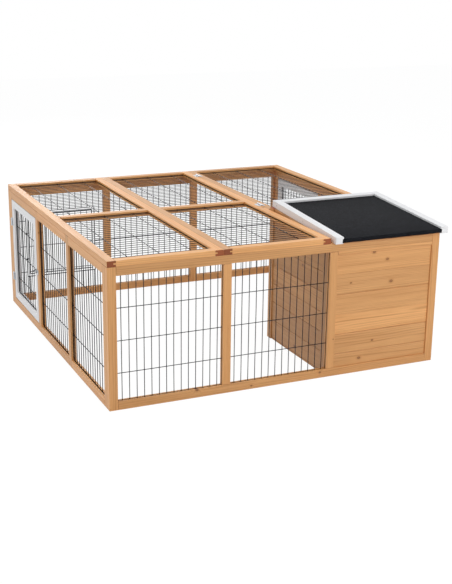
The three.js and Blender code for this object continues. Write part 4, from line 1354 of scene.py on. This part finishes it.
class RABBITRUN_OT_house_roof(Operator):
    """Board, felt and painted trims of the house roof"""
    bl_idname = "rabbitrun.house_roof"
    bl_label = "House roof"

    def execute(self, context):
        s = sizes()
        space = house_roof_space()
        back = space.inverted()
        (x0, x1), (y0, y1), (z0, z1) = span_in(space, "house_roof_board")
        board = Piece("roof_board_timber", "house_roof")
        board.add(soften(prism(rectangle(y1 - y0, z1 - z0, y0, z0), x1 - x0), 0.8 * MM),
                  space @ Matrix.Translation((x0, 0, 0)))
        board.finish("Fir planks", "bare_fir", "house_roof_board")

        felt = Piece("roof_felt_sheet", "house_roof")
        (x0, x1), (_, y1), (z0, z1) = span_in(space, "house_roof_felt")
        felt.add(self.felt_sheet(x0, x1, y1, z0, z1), space, smooth=True)
        felt.finish("Roofing felt", "roofing_felt", "house_roof_felt")

        for place in ("left", "right", "back"):
            node = f"house_roof_trim_{place}"
            trim = Piece(f"roof_edge_{place}", "house_roof")
            along_y = Matrix.Rotation(-math.pi / 2, 4, "Z") if place != "back" else Matrix()
            trim.add(cad_copy(node, s.edge), grain_from=along_y @ back)
            trim.finish("White paint", "white_painted_wood", node)
        return {"FINISHED"}

    def felt_sheet(self, x0, x1, back, bottom, top):
        """The sheet bends over the front edge of the board. Its lower edge wanders a little."""
        s = sizes()
        wander = random.Random("felt edge")
        outer, inner = s.felt_bend, s.felt_bend - s.felt
        bottom -= 3 * MM        # hangs almost to the underside of the board
        turns = [math.radians(a) for a in range(0, 91, 15)]
        profile = [(back, top), *((outer - outer * math.sin(a), top - outer + outer * math.cos(a))
                                  for a in turns), (0.0, bottom)]
        under = [(s.felt, bottom), *((outer - inner * math.sin(a), top - outer + inner * math.cos(a))
                                     for a in reversed(turns)), (back, top - s.felt)]
        section = profile + under
        bm = bmesh.new()
        stations = 33
        rings = []
        for i in range(stations):
            x = x0 + (x1 - x0) * i / (stations - 1)
            lift = wander.uniform(0.0, 0.7 * MM)
            rings.append([bm.verts.new((x, y, z + (lift if z <= bottom else 0.0))) for y, z in section])
        return join_rings(bm, rings)


TRIM_SCREW = 2.4 * MM       # radius of a trim's screws
TRIM_SCREW_SHARES = (0.07, 0.5, 0.93)       # their places along the trim


class RABBITRUN_OT_fittings(Operator):
    """Hinges, bolts and screws"""
    bl_idname = "rabbitrun.fittings"
    bl_label = "Fittings"

    def execute(self, context):
        self.door_fittings("left", wall("left"), 1)
        self.door_fittings("right", wall("right"), -1)
        self.lid_hinges()
        self.house_roof_hinge()
        self.trim_screws()
        return {"FINISHED"}

    def leaf(self, name, moving, body, place, run, **options):
        piece = Piece(f"{name}_{'moving' if moving else 'fixed'}_plate", body)
        add_leaf(piece, place, moving, run, **options)
        piece.finish("Zinc", "zinc_plated_steel", f"{name}_{'moving' if moving else 'fixed'}_leaf")

    def hinge(self, name, body, place, run):
        """A leaf on the run and one on the body that it carries."""
        self.leaf(name, False, "run", place, run)
        self.leaf(name, True, body, place, run)

    def door_fittings(self, name, side, way):
        """The door's free edge is its end at higher x where way is 1, and at lower x where it is -1."""
        def on_door(x, y, z):
            return side.matrix @ axes(way * X, -Y, -way * Z, Vector((x, y, z)))

        gap = sizes().door_gap
        door = side.span(f"{name}_door_frame")
        pin = door[0][0] - gap / 2 if way > 0 else door[0][1] + gap / 2
        free = door[0][1] if way > 0 else door[0][0]
        for place in ("lower", "upper"):
            hinge = f"{name}_door_{place}_hinge"
            _, _, (z0, z1) = side.span(f"{hinge}_fixed_leaf")
            spot = on_door(pin, -STANDOFF, (z0 + z1) / 2)
            self.hinge(hinge, f"{name}_door", spot, z1 - z0)
        middle = (door[2][0] + door[2][1]) / 2
        spot = on_door(free, 0, middle)
        body = Piece(f"{name}_bolt_plate", f"{name}_door")
        keeper = Piece(f"{name}_bolt_catch", "run")
        slider = Piece(f"{name}_bolt_rod", f"{name}_bolt")
        add_bolt(body, keeper, slider, spot)
        body.finish("Zinc", "zinc_plated_steel", f"{name}_door_bolt_body")
        keeper.finish("Zinc", "zinc_plated_steel", f"{name}_door_bolt_keeper")
        slider.finish("Black steel", "black_steel", f"{name}_door_bolt_slider")

    def lid_hinges(self):
        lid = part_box("lid_frame")
        for place in ("front", "back"):
            hinge = f"lid_{place}_hinge"
            low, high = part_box(f"{hinge}_fixed_leaf")
            spot = axes(X, Z, -Y, Vector((lid[0].x - FIT / 2, (low.y + high.y) / 2, lid[1].z + STANDOFF)))
            self.hinge(hinge, "lid", spot, high.y - low.y)

    def house_roof_hinge(self):
        space = house_roof_space()
        (x0, x1), _, _ = span_in(space, "house_roof_hinge_moving_leaf")
        trim_end = span_in(space, "house_roof_trim_back")[1][1]
        middle = Vector(((x0 + x1) / 2, trim_end + STANDOFF, 0))
        pin = space @ middle
        turned = space @ axes(Z, Y, -X, middle)
        self.leaf("house_roof_hinge", True, "house_roof", turned, x1 - x0, knuckles=7, screws=6)
        drop = pin.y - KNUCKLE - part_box("house_back_wall")[1].y - FIT
        self.leaf("house_roof_hinge", False, "run", axes(Z, Y, -X, pin), x1 - x0, knuckles=7, screws=6,
                  drop=drop)

    def trim_screws(self):
        """Small screws through the outer faces of the roof trims."""
        space = house_roof_space()
        piece = Piece("roof_trim_screws", "house_roof")
        for side, way in (("left", -1), ("right", 1)):
            (x0, x1), (y0, y1), (z0, z1) = span_in(space, f"house_roof_trim_{side}")
            x = x0 if way < 0 else x1
            for share in TRIM_SCREW_SHARES:
                spot = Vector((x, y0 + share * (y1 - y0), (z0 + z1) / 2))
                add_screw(piece, space @ axes(-way * Z, Y, way * X, spot), TRIM_SCREW)
        piece.finish("Zinc", "zinc_plated_steel")


# Name, place, size in metres and power in watts.
LAMPS = (("Key lamp", (1.3, -2.7, 2.1), 2.4, 50),
         ("Side lamp", (-3.4, -0.6, 2.2), 2.4, 33),
         ("Top lamp", (0.0, 0.6, 3.4), 3.0, 18),
         ("Back lamp", (-0.2, 4.6, 2.6), 2.6, 62))
LAMP_AIM = Vector((0, 0, 0.2))
FLOOR_REACH = 9.0
# Kind, share and strength of the plain white that the camera sees.
FLOOR_WHITE = ("ShaderNodeEmission", 0.90, 1.06)
WORLD_WHITE = ("ShaderNodeBackground", 1.0, 1.0)
WORLD_TINT = (0.95, 0.97, 1.0)
WORLD_LEVELS = (0.22, 0.62)     # light that comes from the front and from behind
CAMERA_LENS, CAMERA_SENSOR = 67.85, 36
CAMERA_ANGLES = (24.53, -17.12, 0.75)               # yaw, pitch and roll in degrees
CAMERA_PLACE = Vector((-1.03487, -3.16865, 1.4335))     # from the run's front left foot


class RABBITRUN_OT_stage(Operator):
    """Floor, lamps, surroundings and the camera of the photograph"""
    bl_idname = "rabbitrun.stage"
    bl_label = "Stage"

    def execute(self, context):
        self.floor()
        self.surroundings()
        for lamp in LAMPS:
            self.lamp(*lamp)
        self.camera()
        context.scene.view_settings.view_transform = "Standard"
        return {"FINISHED"}

    def white_for_camera(self, graph, shader, kind, seen, strength):
        """Seen by the camera, in gloss or through glass, the surface adds plain white light."""
        path = graph.node("ShaderNodeLightPath").outputs
        rays = graph.larger(path["Is Camera Ray"],
                            graph.larger(path["Is Glossy Ray"], path["Is Transmission Ray"]))
        glow = graph.node(kind, {"Color": (1, 1, 1), "Strength": strength})
        return graph.node("ShaderNodeMixShader", {0: graph.mul(rays, seen), 1: shader,
                                                  2: glow.outputs[0]}).outputs[0]

    def floor(self):
        mesh = bpy.data.meshes.new("floor")
        corners = ((-1, -1), (1, -1), (1, 1), (-1, 1))
        mesh.from_pydata([(x * FLOOR_REACH, y * FLOOR_REACH, 0) for x, y in corners], [], [range(4)])
        made = bpy.data.objects.new("floor", mesh)
        bpy.context.collection.objects.link(made)
        finish = Finish("Floor")
        finish.set(Base_Color=tuple(colours().floor), Roughness=0.9)
        shown = self.white_for_camera(finish.graph, finish.shader.outputs[0], *FLOOR_WHITE)
        finish.graph.feed(finish.material.node_tree.nodes["Material Output"].inputs["Surface"], shown)
        mesh.materials.append(finish.material)

    def surroundings(self):
        world = bpy.data.worlds.new("Surroundings")
        world.use_nodes = True
        bpy.context.scene.world = world
        graph = Graph(world.node_tree)
        plain = world.node_tree.nodes["Background"]
        towards = graph.split(graph.node("ShaderNodeTexCoord").outputs["Generated"])
        graph.feed(plain.inputs["Color"], WORLD_TINT)
        graph.feed(plain.inputs["Strength"], graph.spread(towards[1], -0.5, 0.8, *WORLD_LEVELS))
        shown = self.white_for_camera(graph, plain.outputs[0], *WORLD_WHITE)
        graph.feed(world.node_tree.nodes["World Output"].inputs["Surface"], shown)

    def lamp(self, name, place, size, power):
        data = bpy.data.lights.new(name, "AREA")
        data.size, data.energy = size, power
        made = bpy.data.objects.new(name, data)
        made.location = place
        made.rotation_euler = (LAMP_AIM - Vector(place)).to_track_quat("-Z", "Y").to_euler()
        bpy.context.collection.objects.link(made)

    def camera(self):
        data = bpy.data.cameras.new("Photo camera")
        data.lens, data.sensor_width = CAMERA_LENS, CAMERA_SENSOR
        made = bpy.data.objects.new("Photo camera", data)
        yaw, pitch, roll = (math.radians(angle) for angle in CAMERA_ANGLES)
        ahead = Vector((math.sin(yaw) * math.cos(pitch), math.cos(yaw) * math.cos(pitch), math.sin(pitch)))
        right = Vector((math.cos(yaw), -math.sin(yaw), 0))
        up = right.cross(ahead)
        tilted = right * math.cos(roll) + up * math.sin(roll)
        upright = up * math.cos(roll) - right * math.sin(roll)
        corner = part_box("front_stile_left")[0]
        made.matrix_world = axes(tilted, upright, -ahead, corner + CAMERA_PLACE)
        bpy.context.collection.objects.link(made)
        bpy.context.scene.camera = made


STEPS = (RABBITRUN_OT_front_wall, RABBITRUN_OT_wall_frames, RABBITRUN_OT_roof_frames,
         RABBITRUN_OT_side_doors, RABBITRUN_OT_nets, RABBITRUN_OT_rear_door, RABBITRUN_OT_house_walls,
         RABBITRUN_OT_house_roof, RABBITRUN_OT_fittings, RABBITRUN_OT_stage)


class RABBITRUN_PT_sidebar(Panel):
    """Lists the sizes, the colours and the steps that make the run"""
    bl_idname = "RABBITRUN_PT_sidebar"
    bl_label = "Rabbit Run"
    bl_space_type = "VIEW_3D"
    bl_region_type = "UI"
    bl_category = "Rabbit Run"

    def draw(self, context):
        for title, group in (("Sizes", sizes()), ("Colours", colours())):
            box = self.layout.box()
            box.label(text=title)
            for name in group.__annotations__:
                box.prop(group, name)
        for step in STEPS:
            self.layout.operator(step.bl_idname)


CLASSES = (RunSizes, RunColours, *STEPS, RABBITRUN_PT_sidebar)


def register():
    for cls in CLASSES:
        bpy.utils.register_class(cls)
    bpy.types.Scene.run_sizes = PointerProperty(type=RunSizes)
    bpy.types.Scene.run_colours = PointerProperty(type=RunColours)


def unregister():
    del bpy.types.Scene.run_colours
    del bpy.types.Scene.run_sizes
    for cls in reversed(CLASSES):
        bpy.utils.unregister_class(cls)


def main():
    register()
    for step in STEPS:
        group, name = step.bl_idname.split(".")
        getattr(getattr(bpy.ops, group), name)()


if __name__ == "__main__":
    main()
